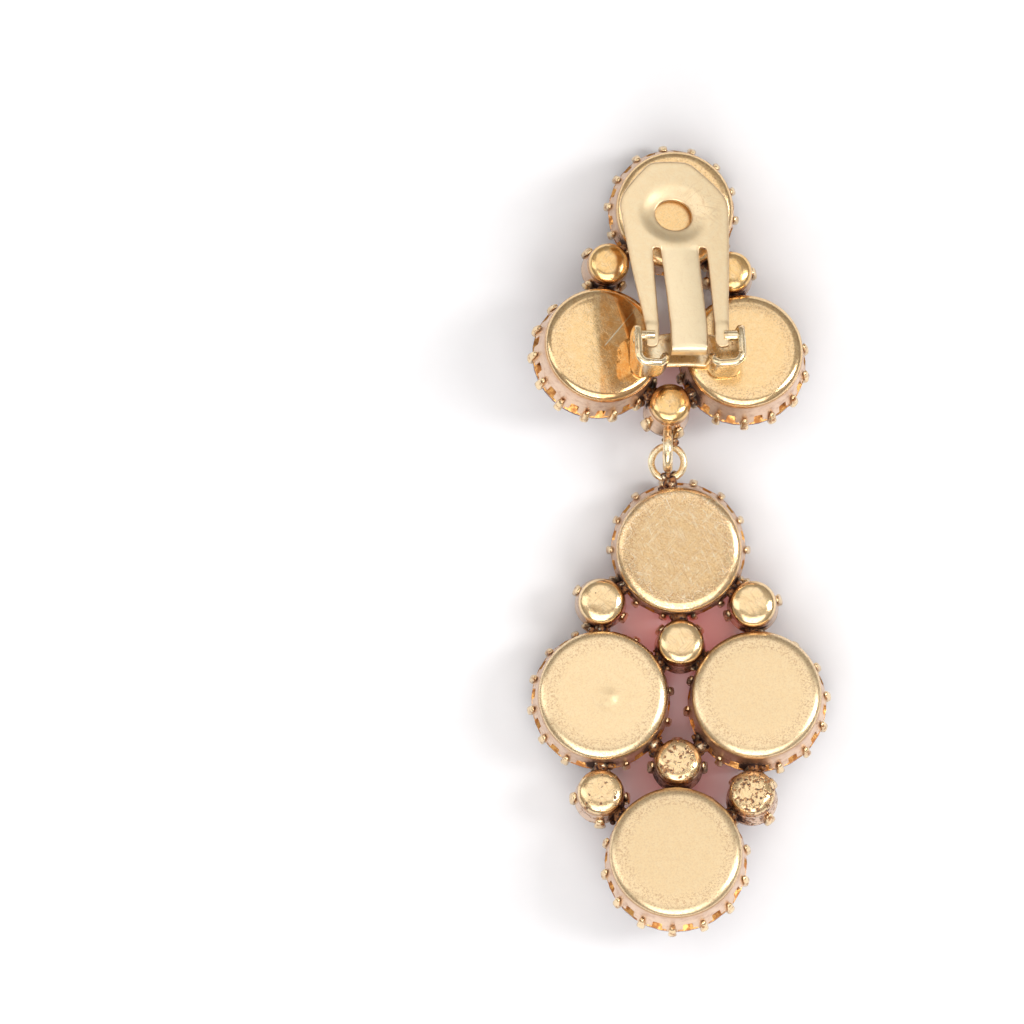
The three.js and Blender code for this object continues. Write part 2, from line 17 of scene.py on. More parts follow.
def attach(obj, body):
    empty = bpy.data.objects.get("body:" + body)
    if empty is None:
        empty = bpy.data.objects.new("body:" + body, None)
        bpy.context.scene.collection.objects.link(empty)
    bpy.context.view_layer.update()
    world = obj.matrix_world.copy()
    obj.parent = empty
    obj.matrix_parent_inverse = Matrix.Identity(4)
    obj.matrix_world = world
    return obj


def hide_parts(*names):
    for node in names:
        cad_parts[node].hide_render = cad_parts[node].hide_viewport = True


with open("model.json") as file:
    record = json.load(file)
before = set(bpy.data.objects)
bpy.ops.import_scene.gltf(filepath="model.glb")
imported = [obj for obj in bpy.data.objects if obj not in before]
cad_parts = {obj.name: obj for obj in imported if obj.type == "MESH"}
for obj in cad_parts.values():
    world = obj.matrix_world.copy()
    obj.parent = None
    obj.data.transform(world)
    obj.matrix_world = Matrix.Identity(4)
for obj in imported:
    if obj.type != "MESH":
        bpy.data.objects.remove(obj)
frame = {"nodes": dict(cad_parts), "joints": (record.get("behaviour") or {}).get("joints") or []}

bl_info = {
    "name": "Chandelier clip earring",
    "version": (1, 0, 0),
    "blender": (4, 5, 0),
    "location": "View3D > Sidebar > Earring",
    "description": "Builds a gilt clip earring with red stones round its packed model",
    "category": "Add Mesh",
}

MM = 0.001
UP = Vector((0, 0, 1))
BODY = "earring"
CLIP_BODY = "paddle"

# Turn of the first claw about each cup's own axis, in degrees
CUP_TURN = {
    "top_stone_tip": 20,
    "top_stone_left": 2,
    "top_stone_right": 14,
    "top_small_left": 45,
    "top_small_right": 12,
    "top_small_low": 30,
    "drop_stone_head": 0,
    "drop_stone_left": 8,
    "drop_stone_right": 6,
    "drop_stone_end": 10,
    "drop_small_head_left": 60,
    "drop_small_head_right": 17,
    "drop_small_middle_up": 46,
    "drop_small_middle_low": 0,
    "drop_small_end_left": 0,
    "drop_small_end_right": 41,
}
# Cups joined by solder: each small cup with its large neighbours
JOINTS = {
    "top_small_left": ["top_stone_tip", "top_stone_left"],
    "top_small_right": ["top_stone_tip", "top_stone_right"],
    "top_small_low": ["top_stone_left", "top_stone_right"],
    "drop_small_head_left": ["drop_stone_head", "drop_stone_left"],
    "drop_small_head_right": ["drop_stone_head", "drop_stone_right"],
    "drop_small_middle_up": ["drop_stone_left", "drop_stone_right", "drop_stone_head"],
    "drop_small_middle_low": ["drop_stone_left", "drop_stone_right", "drop_stone_end"],
    "drop_small_end_left": ["drop_stone_left", "drop_stone_end"],
    "drop_small_end_right": ["drop_stone_right", "drop_stone_end"],
}

SEAT_CLEARANCE = 0.08 * MM
CUP_WALL = 0.25 * MM
GIRDLE = 0.3 * MM
TABLE_SHARE = 0.57
CROWN_SHARE = 0.148
STONE_FILL = {True: 4.185 * MM, False: 2.054 * MM}  # girdle to point, in a large and a small cup
STONE_SHOWS = 0.3 * MM  # how far a stone's edge reaches out under the lip of its cup
LARGE_FLAT = 0.81  # the flat part of a large back, as a share of its radius
SMALL_FLAT = 0.12
EDGE_FALL = 0.06 * MM  # how far a flat back falls away before its rounded rim

WALL_HOLLOW = 0.1 * MM  # how far a cup's wall is drawn in at its middle
RIM_STEPS = 12
DOME_STEPS = 16
# The grooves under a rim and a dome: how far up the wall, how deep in millimetres, how much brown
# painted shade
LARGE_GROOVE = [(0.92, 0.02, 0.4), (0.945, 0.09, 1.0), (0.965, 0.09, 1.0), (0.99, 0.0, 0.5)]
SMALL_GROOVE = [(0.95, 0.1, 0.8), (0.98, 0.14, 1.0)]
# Rings of a flat back, as shares of its flat part's radius
BACK_RINGS = [0.985, 0.965, 0.94, 0.9, 0.85, 0.78, 0.7, 0.6, 0.5]
BACK_RINGS += [0.42, 0.36, 0.31, 0.26, 0.21, 0.16, 0.1, 0.05]

# Each large back's roughness, scratches, warmth of colour (partly a painted reflection of warm
# light off the gilt round it), and the rise of its middle
BACK_ROWS = {
    "top_stone_tip": (0.2, 0.12, 0.8, 0.04),
    "top_stone_left": (0.03, 0.25, 0.7, 0.1),
    "top_stone_right": (0.16, 0.12, 0.65, 0.05),
    "drop_stone_head": (0.3, 0.9, 0.45, -0.02),
    "drop_stone_left": (0.36, 0.1, 0.0, -0.04),
    "drop_stone_right": (0.42, 0.1, 0.0, -0.02),
    "drop_stone_end": (0.44, 0.1, 0.0, -0.02),
}
BACK_FINISH = {
    name: {"matt": matt, "scuff": scuff, "warm": warm, "crown": rise * MM}
    for name, (matt, scuff, warm, rise) in BACK_ROWS.items()
}
# How badly each small dome is pitted
PITTED = {
    "drop_small_end_right": 1.05,
    "drop_small_middle_low": 0.95,
    "drop_small_end_left": 0.82,
    "drop_small_head_left": 0.25,
    "drop_small_middle_up": 0.2,
    "top_small_low": 0.35,
    "top_small_left": 0.2,
}
# One of the drop's backs is pushed out in one place
DENT_PLACE = (-6.94 * MM, -15.02 * MM)
DENT_RADIUS = 0.85 * MM
DENT_RISE = 0.22 * MM
PADDLE_REFLECTION_EDGE = (-7.85, -7.45)  # in X and millimetres: the painted reflection of the paddle's underside lies beside the clip
# One long bright scratch on a back, from end to end, in millimetres
SCRATCH_ENDS = ((-7.36, 18.53), (-4.29, 22.18))
# Middles of the gaps between the cups, and how dark the painted shade on the walls round them is
GAP_PLACES = [
    (-3.1 * MM, -7.4 * MM),
    (3.4 * MM, -7.1 * MM),
    (0.3 * MM, -13.9 * MM),
    (-2.8 * MM, -23.0 * MM),
    (3.1 * MM, -23.0 * MM),
    (-1.1 * MM, 15.9 * MM),
    (-0.4 * MM, 24.0 * MM),
]
GAP_SHADE = 0.62
GAP_REACH = 2.8 * MM
# How far tarnish reaches from the solder on the large cups and the claws, and on the small cups
LARGE_SOOT = 1.9 * MM
SMALL_SOOT = 1.7 * MM

# Half widths of the paddle as shares of its width, against the distance from its tip as shares
# of its length
PADDLE_OUTLINE = [
    (0.0, 0.1),
    (0.012, 0.19),
    (0.045, 0.25),
    (0.095, 0.335),
    (0.155, 0.425),
    (0.205, 0.48),
    (0.25, 0.5),
    (0.32, 0.492),
]


def length(name, description, default):
    """A length that the panel shows in the scene's units."""
    return FloatProperty(
        name=name,
        description=description,
        default=default * MM,
        min=0,
        precision=5,
        unit="LENGTH",
        subtype="DISTANCE",
    )


def colour(name, description, default):
    """A colour that the panel shows as a swatch."""
    return FloatVectorProperty(
        name=name,
        description=description,
        default=default,
        size=3,
        min=0,
        max=1,
        subtype="COLOR",
    )


def share(name, description, default):
    """A value between 0 and 1."""
    return FloatProperty(
        name=name, description=description, default=default, min=0, max=1, subtype="FACTOR"
    )


def angle(name, description, degrees):
    """An angle that the panel shows in degrees."""
    return FloatProperty(
        name=name, description=description, default=math.radians(degrees), subtype="ANGLE"
    )


class CupSizes(bpy.types.PropertyGroup):
    """The cups that hold the stones, and their claws."""

    large_depth: length("Large depth", "Girdle to back of a large cup", 5.0)
    small_depth: length("Small depth", "Girdle to back of a small cup", 4.3)
    large_taper: length("Large taper", "How much narrower a large cup is at its back", 0.5)
    small_taper: length("Small taper", "How much narrower a small cup is at its back", 0.22)
    rim: length("Rim", "Height of the rounded edge of a flat back", 0.7)
    dome: length("Dome", "Height of a small cup's domed back", 1.2)
    slot_width: length("Slot width", "Width of the slot at the top of a window", 0.8)
    slot_height: length("Slot height", "From the mouth to the top of a window's slot", 1.7)
    window_height: length("Window height", "From the mouth to the window's two steps", 0.5)
    claws: IntProperty(name="Claws", description="Claws round a large cup", default=14, min=3)
    small_claws: IntProperty(
        name="Small claws", description="Claws round a small cup", default=4, min=3
    )
    claw_width: length("Claw width", "Width of a large cup's claw", 0.86)
    small_claw_width: length("Small claw width", "Width of a small cup's claw", 1.2)


class LinkSizes(bpy.types.PropertyGroup):
    """The loop, the ring that hangs in it, and the solder at the joints."""

    loop_radius: length("Loop radius", "To the middle of the loop's wire", 1.75)
    loop_wire: length("Loop wire", "Thickness of the loop's wire", 0.95)
    loop_rise: length("Loop rise", "How much higher the loop's centre lies", 0.5)
    ring_radius: length("Ring radius", "To the middle of the ring's wire", 1.57)
    ring_wire: length("Ring wire", "Thickness of the ring's wire", 0.7)
    ring_height: length("Ring height", "Height of the ring over the surface", 5.2)
    ring_foot: length("Ring foot", "Solder between the ring and its cup", 0.5)
    link_gap: length("Link gap", "Space between the two wires", 0.28)
    solder: length("Solder", "Size of a bead of solder", 0.7)


class ClipSizes(bpy.types.PropertyGroup):
    """The clip: a base strip with two ears, and a paddle hinged between them."""

    base_length: length("Base length", "Length of the base strip", 10.4)
    base_width: length("Base width", "Width of the base strip", 3.8)
    base_thickness: length("Base thickness", "Thickness of the base strip", 0.6)
    base_bite: length("Base bite", "How deep the strip is sunk in the cups' backs", 0.2)
    ear_sheet: length("Ear sheet", "Thickness of an ear", 0.45)
    ear_width: length("Ear width", "Width of an ear's bend", 3.15)
    ear_back: length("Ear back", "Reach of an ear behind the hinge", 3.0)
    ear_front: length("Ear front", "Reach of an ear in front of the hinge", 1.2)
    ear_over: length("Ear over", "Metal over the hinge", 0.95)
    ear_bend: length("Ear bend", "Outer radius of an ear's bend", 1.1)
    hinge_height: length("Hinge height", "Height of the hinge over the base", 3.6)
    hinge_pin: length("Hinge pin", "Thickness of the hinge pin", 1.04)
    paddle_length: length("Paddle length", "From the hinge to the tip", 17.3)
    paddle_width: length("Paddle width", "Widest part of the paddle", 10.5)
    paddle_sheet: length("Paddle sheet", "Thickness of the paddle", 0.5)
    pitch: angle("Pitch", "Rise of the paddle's tip", 1.7)
    skew: angle("Skew", "How far the paddle is bent aside", 4.9)
    leg_end: length("Leg end", "Metal behind the hinge", 1.2)
    leg_width: length("Leg width", "Width of a leg at the hinge", 1.05)
    leg_gap: length("Leg gap", "Space between a leg and an ear", 0.28)
    slot_length: length("Slot length", "From the hinge to a slot's round end", 8.7)
    slot_width: length("Slot width", "Width of a slot at its round end", 0.85)
    tongue_width: length("Tongue width", "Width of the spring tongue", 3.55)
    tongue_lip: length("Tongue lip", "Length of the tongue's folded end", 1.3)
    hole_length: length("Hole length", "Length of the hole", 3.0)
    hole_width: length("Hole width", "Width of the hole", 3.5)
    hole_from_tip: length("Hole from tip", "From the tip to the middle of the hole", 5.3)
    hole_aside: length("Hole aside", "How far the hole lies from the middle line", 0.15)
    dish: length("Dish", "Depth of the dish round the hole", 0.3)


class Finishes(bpy.types.PropertyGroup):
    """Colours and wear of the metal and the glass."""

    satin: colour("Satin gilt", "The flat backs", (0.94, 0.73, 0.445))
    # Amber gilt: warmer gilt, and partly a painted reflection of warm light bounced off the gilt
    # clip and cups round the upper cups
    amber_and_bounce: colour("Amber gilt", "Warmer gilt of the upper cups", (0.92, 0.61, 0.27))
    # A painted reflection of the paddle's underside, in brownish orange, on one back beside the
    # clip
    lacquer: colour("Lacquer", "Old lacquer beside the clip", (0.84, 0.41, 0.12))
    # Pale gilt: paler tone at random and worn bright parts, and the painted highlight on the rims
    # of the backs
    pale: colour("Pale gilt", "Worn and bright parts", (0.97, 0.83, 0.58))
    pink: colour("Pink gilt", "The cups' walls", (0.87, 0.65, 0.485))
    # Brown gilt: stains, scratches and tarnish, and the painted shade in the grooves
    brown: colour("Brown gilt", "Grooves and old lacquer", (0.42, 0.17, 0.055))
    soot: colour("Tarnish", "Dark tarnish at the joints", (0.035, 0.012, 0.014))
    glass: colour("Glass", "Red of the stones", (0.62, 0.02, 0.04))
    foil: colour("Foil", "Gold foil behind the stones", (0.84, 0.45, 0.15))
    shine: colour("Shine", "Fresh scratches", (1.0, 0.94, 0.76))
    paper: colour("Paper", "The surface it lies on", (0.93, 0.92, 0.93))
    satin_roughness: share("Satin roughness", "Roughness of the paddle", 0.38)
    wear: share("Wear", "Strength of the scratches", 0.5)


def clustered_normals(mesh):
    """The flat facets of a mesh as [area, normal] rows, largest first."""
    rows = []
    for face in mesh.polygons:
        for row in rows:
            if row[1].dot(face.normal) > 0.9999:
                row[0] += face.area
                break
        else:
            rows.append([face.area, face.normal.copy()])
    return sorted(rows, key=lambda row: -row[0])


def mesh_points(mesh):
    points = np.empty(len(mesh.vertices) * 3)
    mesh.vertices.foreach_get("co", points)
    return points.reshape(-1, 3)


def read_seat(name):
    """Where a stone sits: the middle of its girdle, with +Z to the cup's back."""
    mesh = frame["nodes"][name].data
    axis = -clustered_normals(mesh)[0][1]
    points = mesh_points(mesh)
    along = points @ np.array(axis)
    culet = points[along.argmax()]
    depth = along - along.max()
    across = np.linalg.norm(points - culet - np.outer(depth, np.array(axis)), axis=1)
    girdle = depth[across > 0.99 * across.max()]
    centre = Vector(culet) + axis * float((girdle.min() + girdle.max()) / 2)
    radius = float(across.max())
    turn = Matrix.Rotation(math.radians(CUP_TURN[name]), 3, "Z")
    rotation = UP.rotation_difference(axis).to_matrix() @ turn
    return {
        "name": name,
        "centre": centre,
        "axis": axis,
        "radius": radius,
        "mouth": radius + SEAT_CLEARANCE + CUP_WALL,
        "large": radius > 4 * MM,
        "matrix": Matrix.Translation(centre) @ rotation.to_4x4(),
    }


SEATS = {name: read_seat(name) for name in CUP_TURN}
LARGE_SEATS = [seat for seat in SEATS.values() if seat["large"]]
SMALL_SEATS = [seat for seat in SEATS.values() if not seat["large"]]


def wall_radius(seat, cups, height):
    """Outer radius of a cup's plain wall at a height over its girdle."""
    if seat["large"]:
        return seat["mouth"] - cups.large_taper * height / (cups.large_depth - cups.rim)
    return seat["mouth"] - cups.small_taper * height / (cups.small_depth - cups.dome)


def joint_places(cups, solder):
    """Beads of solder between neighbouring cups: place, turn about Z and half span."""
    rows = []
    for small_name, others in JOINTS.items():
        small = SEATS[small_name]
        level = small["centre"] + small["axis"] * cups.small_depth * 0.35
        for name in others:
            large = SEATS[name]
            up = (level.z - large["centre"].z) / large["axis"].z
            across = large["centre"] + large["axis"] * up - level
            across.z = 0
            distance = across.length
            near = small["mouth"]
            far = wall_radius(large, cups, up)
            half = max((distance - far - near) / 2, 0) + solder
            place = level + across.normalized() * ((near + distance - far) / 2)
            rows.append((place, math.atan2(across.y, across.x), half))
    return rows


def link_places(cups, links):
    """Middles of the loop and the ring, and where solder holds each of them."""
    low = SEATS["top_small_low"]
    loop_z = links.ring_height + links.loop_rise
    at = (loop_z - low["centre"].z) / low["axis"].z
    on_axis = low["centre"] + low["axis"] * at
    wall = low["mouth"] - cups.small_taper * at / cups.small_depth
    loop_y = on_axis.y - wall - links.loop_radius + CUP_WALL / 2
    loop = Vector((on_axis.x, loop_y, loop_z))
    cross = math.sqrt(links.loop_radius**2 - links.loop_rise**2)
    ring_y = loop_y - cross - links.loop_wire / 2 - links.link_gap
    ring_y += links.ring_radius - links.ring_wire / 2
    ring = Vector((loop.x, ring_y, links.ring_height))
    head = SEATS["drop_stone_head"]
    toward = ring - head["centre"]
    toward.z = 0
    toward.normalize()
    reach = head["mouth"] - cups.large_taper * (ring.z - head["centre"].z) / cups.large_depth
    foot = head["centre"] + toward * (reach + links.ring_foot / 2)
    foot.z = links.ring_height
    return {
        "loop": loop,
        "ring": ring,
        "loop_foot": Vector((on_axis.x, on_axis.y - wall, loop_z)),
        "ring_foot": foot,
        "ring_foot_turn": math.atan2(toward.y, toward.x),
    }


def clip_frame():
    """The clip's own frame: the hinge is its X axis and +Z leaves the backs of the two cups."""
    joint = frame["joints"][0]
    along = Vector(joint["axis"]).normalized()
    up = SEATS["top_stone_left"]["axis"] + SEATS["top_stone_right"]["axis"]
    up = (up - along * up.dot(along)).normalized()
    ahead = up.cross(along)
    turned = Matrix((along, ahead, up)).transposed().to_4x4()
    return Matrix.Translation(Vector(joint["pos_m"])) @ turned


def new_object(name, data):
    """An object at the origin that shows the data."""
    made = bpy.data.objects.new(name, data)
    bpy.context.scene.collection.objects.link(made)
    return made


def closed_outward(mesh):
    """Merges doubles and points all faces of a closed shell outward."""
    work = bmesh.new()
    work.from_mesh(mesh)
    bmesh.ops.remove_doubles(work, verts=work.verts, dist=1e-7)
    bmesh.ops.recalc_face_normals(work, faces=work.faces)
    work.to_mesh(mesh)
    work.free()


def make_piece(name, points, faces, material, matrix=None, marks=None, smooth=True):
    """A mesh object at the origin, with its place in its mesh and its masks as attributes."""
    mesh = bpy.data.meshes.new(name)
    mesh.from_pydata([tuple(p) for p in points], [], faces)
    for mark, values in (marks or {}).items():
        attribute = mesh.attributes.new(mark, "FLOAT", "POINT")
        attribute.data.foreach_set("value", np.asarray(values, dtype=np.float32))
    if matrix is not None:
        mesh.transform(matrix)
    closed_outward(mesh)
    if smooth:
        mesh.shade_smooth()
    mesh.materials.append(material)
    return new_object(name, mesh)


def finish_piece(piece, body, nodes):
    """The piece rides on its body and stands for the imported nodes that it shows."""
    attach(piece, body)
    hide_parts(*nodes)
    return piece


def turned_shell(radii, heights, angles):
    """A closed surface of rings; the first and last ring are single points on the axis.

    radii and heights have a row for each ring between them and a column for each angle.
    """
    rings, columns = radii.shape
    x = radii * np.cos(angles)
    y = radii * np.sin(angles)
    points = np.stack([x, y, heights], axis=2).reshape(-1, 3)
    first = np.array([[0, 0, heights[0].mean()]])
    last = np.array([[0, 0, heights[-1].mean()]])
    points = np.vstack([first, points, last])
    faces = []
    end = len(points) - 1
    for i in range(columns):
        j = (i + 1) % columns
        faces.append((0, 1 + j, 1 + i))
        faces.append((end, end - columns + i, end - columns + j))
        for k in range(rings - 1):
            a = 1 + k * columns
            faces.append((a + i, a + j, a + columns + j, a + columns + i))
    return points, faces


def arch_columns(count):
    """Angles round a mouth, closer together at the sides of each window.

    Gives the angles and each one's distance from the middle of its window, as a share of the
    half pitch between two windows.
    """
    half = [0.0, 0.12, 0.24, 0.315, 0.335, 0.45, 0.55, 0.63, 0.67, 0.76, 0.88]
    shares = [-s for s in reversed(half[1:])] + half + [1.0]
    pitch = 2 * math.pi / count
    angles, offsets = [], []
    for i in range(count):
        for s in shares:
            angles.append((i + 0.5 + s / 2) * pitch)
            offsets.append(s)
    return np.array(angles), np.array(offsets)


def waviness(points, matrix, scale, amount):
    """Small uneven lifts of a hand-finished surface, one for each point."""
    lifts = []
    for p in points:
        where = matrix @ Vector(p)
        lifts.append(amount * noise.noise(where * scale))
    return np.array(lifts)


def nearness(points, places, reach):
    """1 at any of the places, falling to 0 over the reach."""
    best = np.zeros(len(points))
    for place in places:
        distance = np.linalg.norm(points - np.array(place), axis=1)
        best = np.maximum(best, np.exp(-((distance / reach) ** 2)))
    return best


def tarnish_and_gap_shade(where, walls, cups, links, reach):
    """Tarnish near the solder, and painted shade on the walls that face the gaps between the
    cups.
    """
    joints = [row[0] for row in joint_places(cups, links.solder)]
    # Painted shade on the walls round the gaps between the cups
    facing = GAP_SHADE * nearness(where[:, :2], GAP_PLACES, GAP_REACH)
    return np.maximum(nearness(where, joints, reach), np.where(walls, facing, 0))


def world_points(points, matrix):
    turned = np.array(matrix.to_3x3())
    return np.asarray(points) @ turned.T + np.array(matrix.translation)


class Rings:
    """A turned shape in the making: rings of radius and height, and the masks each carries."""

    def __init__(self, angles):
        self.angles = angles
        self.rows = []

    def add(self, radius, height, rim=0.0, groove=0.0, wall=0.0):
        """One more ring; radius and height are one number, or a value for each angle."""
        ones = np.ones(len(self.angles))
        self.rows.append((radius * ones, height * ones, rim, groove, wall))

    def shell(self):
        """The points and faces of the closed shape."""
        radii = np.array([row[0] for row in self.rows])
        heights = np.array([row[1] for row in self.rows])
        return turned_shell(radii, heights, self.angles)

    def masks(self):
        """Each mask as a value for each of the shape's points."""
        made = {}
        for column, name in enumerate(("rim", "groove", "wall"), start=2):
            values = np.array([row[column] for row in self.rows])
            body = np.repeat(values, len(self.angles))
            made[name] = np.concatenate([[values[0]], body, [values[-1]]])
        return made


def even_angles(count):
    return np.arange(count) * 2 * math.pi / count


def cut_cup(name, seat, rings, points, faces, soot, marks, material):
    """A cup's piece, with its rings' masks, its tarnish and painted gap shade, and marks that are
    the same all over.
    """
    carried = {**rings.masks(), "soot": soot}
    for label, value in marks.items():
        carried[label] = np.full(len(points), value)
    return make_piece(name, points, faces, material, seat["matrix"], carried)


def large_cup(seat, cups, links, material):
    """A tapered cup with a flat satin back, a rounded rim over a channel painted brown as shade,
    and a notched mouth.
    """
    finish = BACK_FINISH[seat["name"]]
    angles, offsets = arch_columns(cups.claws)
    rings = Rings(angles)
    mouth = seat["mouth"]
    straight = cups.large_depth - cups.rim
    back = mouth - cups.large_taper
    flat = back * LARGE_FLAT
    slot = 0.325 * cups.slot_width / (0.8 * MM)
    sides = [0, 0.6 * slot, slot - 0.01, slot + 0.01, 0.63, 0.67, 1]
    low, high = cups.window_height, cups.slot_height
    lip = np.interp(np.abs(offsets), sides, [high, high, 0.93 * high, low, 0.85 * low, 0, 0])

    def wall_at(level):
        return mouth - cups.large_taper * level / straight

    def hollow_at(level):
        return WALL_HOLLOW * np.sin(math.pi * level / straight)

    # The floor and the inside of the wall
    for r in (0.3, 0.6, 0.85, 1.0):
        rings.add(back * 0.93 * r, cups.large_depth - 0.35 * MM)
    for t in (0.9, 0.5, 0.2, 0.08):
        level = lip + (0.8 * straight - lip) * t
        rings.add(wall_at(level) - CUP_WALL, level, wall=0.3)
    # The lip of the mouth, notched between the claws
    edge = wall_at(lip) - hollow_at(lip)
    # The inside of the lip is painted brown as shade
    rings.add(edge - CUP_WALL, lip + 0.03 * MM, groove=0.4, wall=0.3)
    rings.add(edge - CUP_WALL * 0.75, lip, groove=0.3, wall=0.6)
    rings.add(edge - CUP_WALL * 0.25, lip, wall=1.0)
    # The hollow outside of the wall, and the channel under the rim, painted brown as shade
    start = lip + 0.04 * MM
    for t in (0.0, 0.03, 0.1, 0.22, 0.36, 0.5, 0.64, 0.78, 0.9, 1.0):
        level = start + (0.86 * straight - lip - 0.04 * MM) * t
        rings.add(wall_at(level) - hollow_at(level), level, groove=0.3 * t**6, wall=1.0)
    for t, cut, groove in LARGE_GROOVE:
        rings.add(mouth - cups.large_taper * t - cut * MM, t * straight, groove=groove, wall=0.4)
    # The rounded rim and the flat back
    for i in range(RIM_STEPS + 1):
        turn = i / RIM_STEPS * math.pi / 2
        height = cups.large_depth - EDGE_FALL - cups.rim * (1 - math.sin(turn))
        groove = max(0.0, 0.3 * (1 - 3 * i / RIM_STEPS))
        radius = flat + (back - flat) * math.cos(turn)
        rings.add(radius, height, 1 - 0.3 * i / RIM_STEPS, groove)
    for r in BACK_RINGS:
        rise = finish["crown"] * (1 - r**2) - EDGE_FALL * r**6
        rings.add(flat * r, cups.large_depth + rise, max(0.0, (r - 0.8) / 0.2) * 0.7)
    points, faces = rings.shell()
    on_back = points[:, 2] > cups.large_depth - 0.2 * MM
    lifts = waviness(points, seat["matrix"], 230, 0.016 * MM)
    lifts += waviness(points, seat["matrix"], 700, 0.005 * MM)
    points[:, 2] += np.where(on_back, lifts * min(1.0, finish["matt"] / 0.3), 0)
    where = world_points(points, seat["matrix"])
    if seat["name"] == "drop_stone_left":
        away = np.linalg.norm(where[:, :2] - np.array(DENT_PLACE), axis=1) / DENT_RADIUS
        points[:, 2] += np.where(on_back, DENT_RISE * np.exp(-(away**2)), 0)
    # Tarnish near the solder, and painted shade on the walls that face the gaps
    soot = tarnish_and_gap_shade(where, points[:, 2] < 0.97 * straight, cups, links, LARGE_SOOT)
    marks = {label: finish[label] for label in ("matt", "scuff", "warm")}
    # Only this back carries the painted reflection of the paddle's underside
    marks["lacquer"] = float(seat["name"] == "top_stone_left")
    name = seat["name"].replace("stone", "cup")
    return cut_cup(name, seat, rings, points, faces, soot, marks, material)


def small_cup(seat, cups, links, material):
    """A small tapered cup with a domed back."""
    rings = Rings(even_angles(96))
    mouth = seat["mouth"]
    straight = cups.small_depth - cups.dome
    back = mouth - cups.small_taper
    flat = back * SMALL_FLAT
    # The floor, the inside of the wall and the lip
    for r in (0.5, 1.0):
        rings.add((back - CUP_WALL) * r, straight - 0.2 * MM)
    for t in (0.5, 0.1, 0.015):
        rings.add(mouth - cups.small_taper * t - CUP_WALL, t * straight, wall=0.3)
    rings.add(mouth - CUP_WALL * 0.75, 0.0, wall=0.6)
    rings.add(mouth - CUP_WALL * 0.25, 0.0, wall=1.0)
    # The hollow outside of the wall, and the channel under the dome, painted brown as shade
    for t in (0.02, 0.08, 0.2, 0.35, 0.5, 0.65, 0.8, 0.9):
        hollow = WALL_HOLLOW * math.sin(math.pi * t)
        radius = mouth - cups.small_taper * t - hollow
        rings.add(radius, t * straight, groove=0.3 * t, wall=1.0)
    for t, cut, groove in SMALL_GROOVE:
        rings.add(mouth - cups.small_taper * t - cut * MM, t * straight, groove=groove, wall=0.5)
    for i in range(DOME_STEPS + 1):
        turn = i / DOME_STEPS * math.pi / 2
        radius = flat + (back - 0.04 * MM - flat) * math.cos(turn) ** 0.7
        height = cups.small_depth - cups.dome * (1 - math.sin(turn) ** 0.7)
        rings.add(radius, height, 1 - i / DOME_STEPS, max(0.0, 0.8 - 4 * i / DOME_STEPS))
    rings.add(flat * 0.5, cups.small_depth)
    points, faces = rings.shell()
    lifts = waviness(points, seat["matrix"], 750, 0.05 * MM) - 0.03 * MM
    points[:, 2] += np.where(points[:, 2] > straight, lifts, 0)
    where = world_points(points, seat["matrix"])
    # Tarnish near the solder, and painted shade on the walls that face the gaps
    soot = tarnish_and_gap_shade(where, points[:, 2] < straight, cups, links, SMALL_SOOT)
    # The upper domes are warmer: partly a painted reflection of light bounced off the gilt round
    # them
    warm = 1.0 if seat["name"].startswith("top") else 0.25
    marks = {"pits": PITTED.get(seat["name"], 0.0), "warm": warm}
    name = seat["name"] + "_cup"
    return cut_cup(name, seat, rings, points, faces, soot, marks, material)


def claw_mesh(claw_width):
    """One claw, at the origin in the middle of a mouth's edge: X runs outward, +Z to the back."""
    path = [  # outward and up, with the claw's width and thickness there
        (-0.16, 1.55, 0.3, 0.1),
        (-0.03, 1.4, 0.6, 0.3),
        (0.05, 1.0, 0.72, 0.4),
        (0.12, 0.6, 0.8, 0.46),
        (0.19, 0.2, 0.92, 0.5),
        (0.19, -0.15, 0.98, 0.5),
        (0.1, -0.5, 0.92, 0.42),
        (-0.1, -0.72, 0.84, 0.36),
        (-0.42, -0.83, 0.76, 0.3),
        (-0.7, -0.85, 0.66, 0.26),
        (-0.88, -0.82, 0.36, 0.12),
    ]
    points, faces = [], []
    around = 10
    last = len(path) - 1
    for k, (x, z, wide, deep) in enumerate(path):
        before = path[max(k - 1, 0)]
        after = path[min(k + 1, last)]
        tangent = Vector((after[0] - before[0], after[1] - before[1])).normalized()
        width = claw_width / 2 * wide
        thick = deep / 2 * MM
        for i in range(around):
            a = 2 * math.pi * i / around
            c, s = math.cos(a), math.sin(a)
            side = width * math.copysign(abs(c) ** 0.7, c)
            out = thick * math.copysign(abs(s) ** 0.8, s)
            points.append((x * MM - tangent.y * out, side, z * MM + tangent.x * out))
    for k in range(last):
        for i in range(around):
            j = (i + 1) % around
            a, b = k * around, (k + 1) * around
            faces.append((a + i, a + j, b + j, b + i))
    faces.append(tuple(range(around)))
    faces.append(tuple(reversed(range(last * around, (last + 1) * around))))
    return points, faces


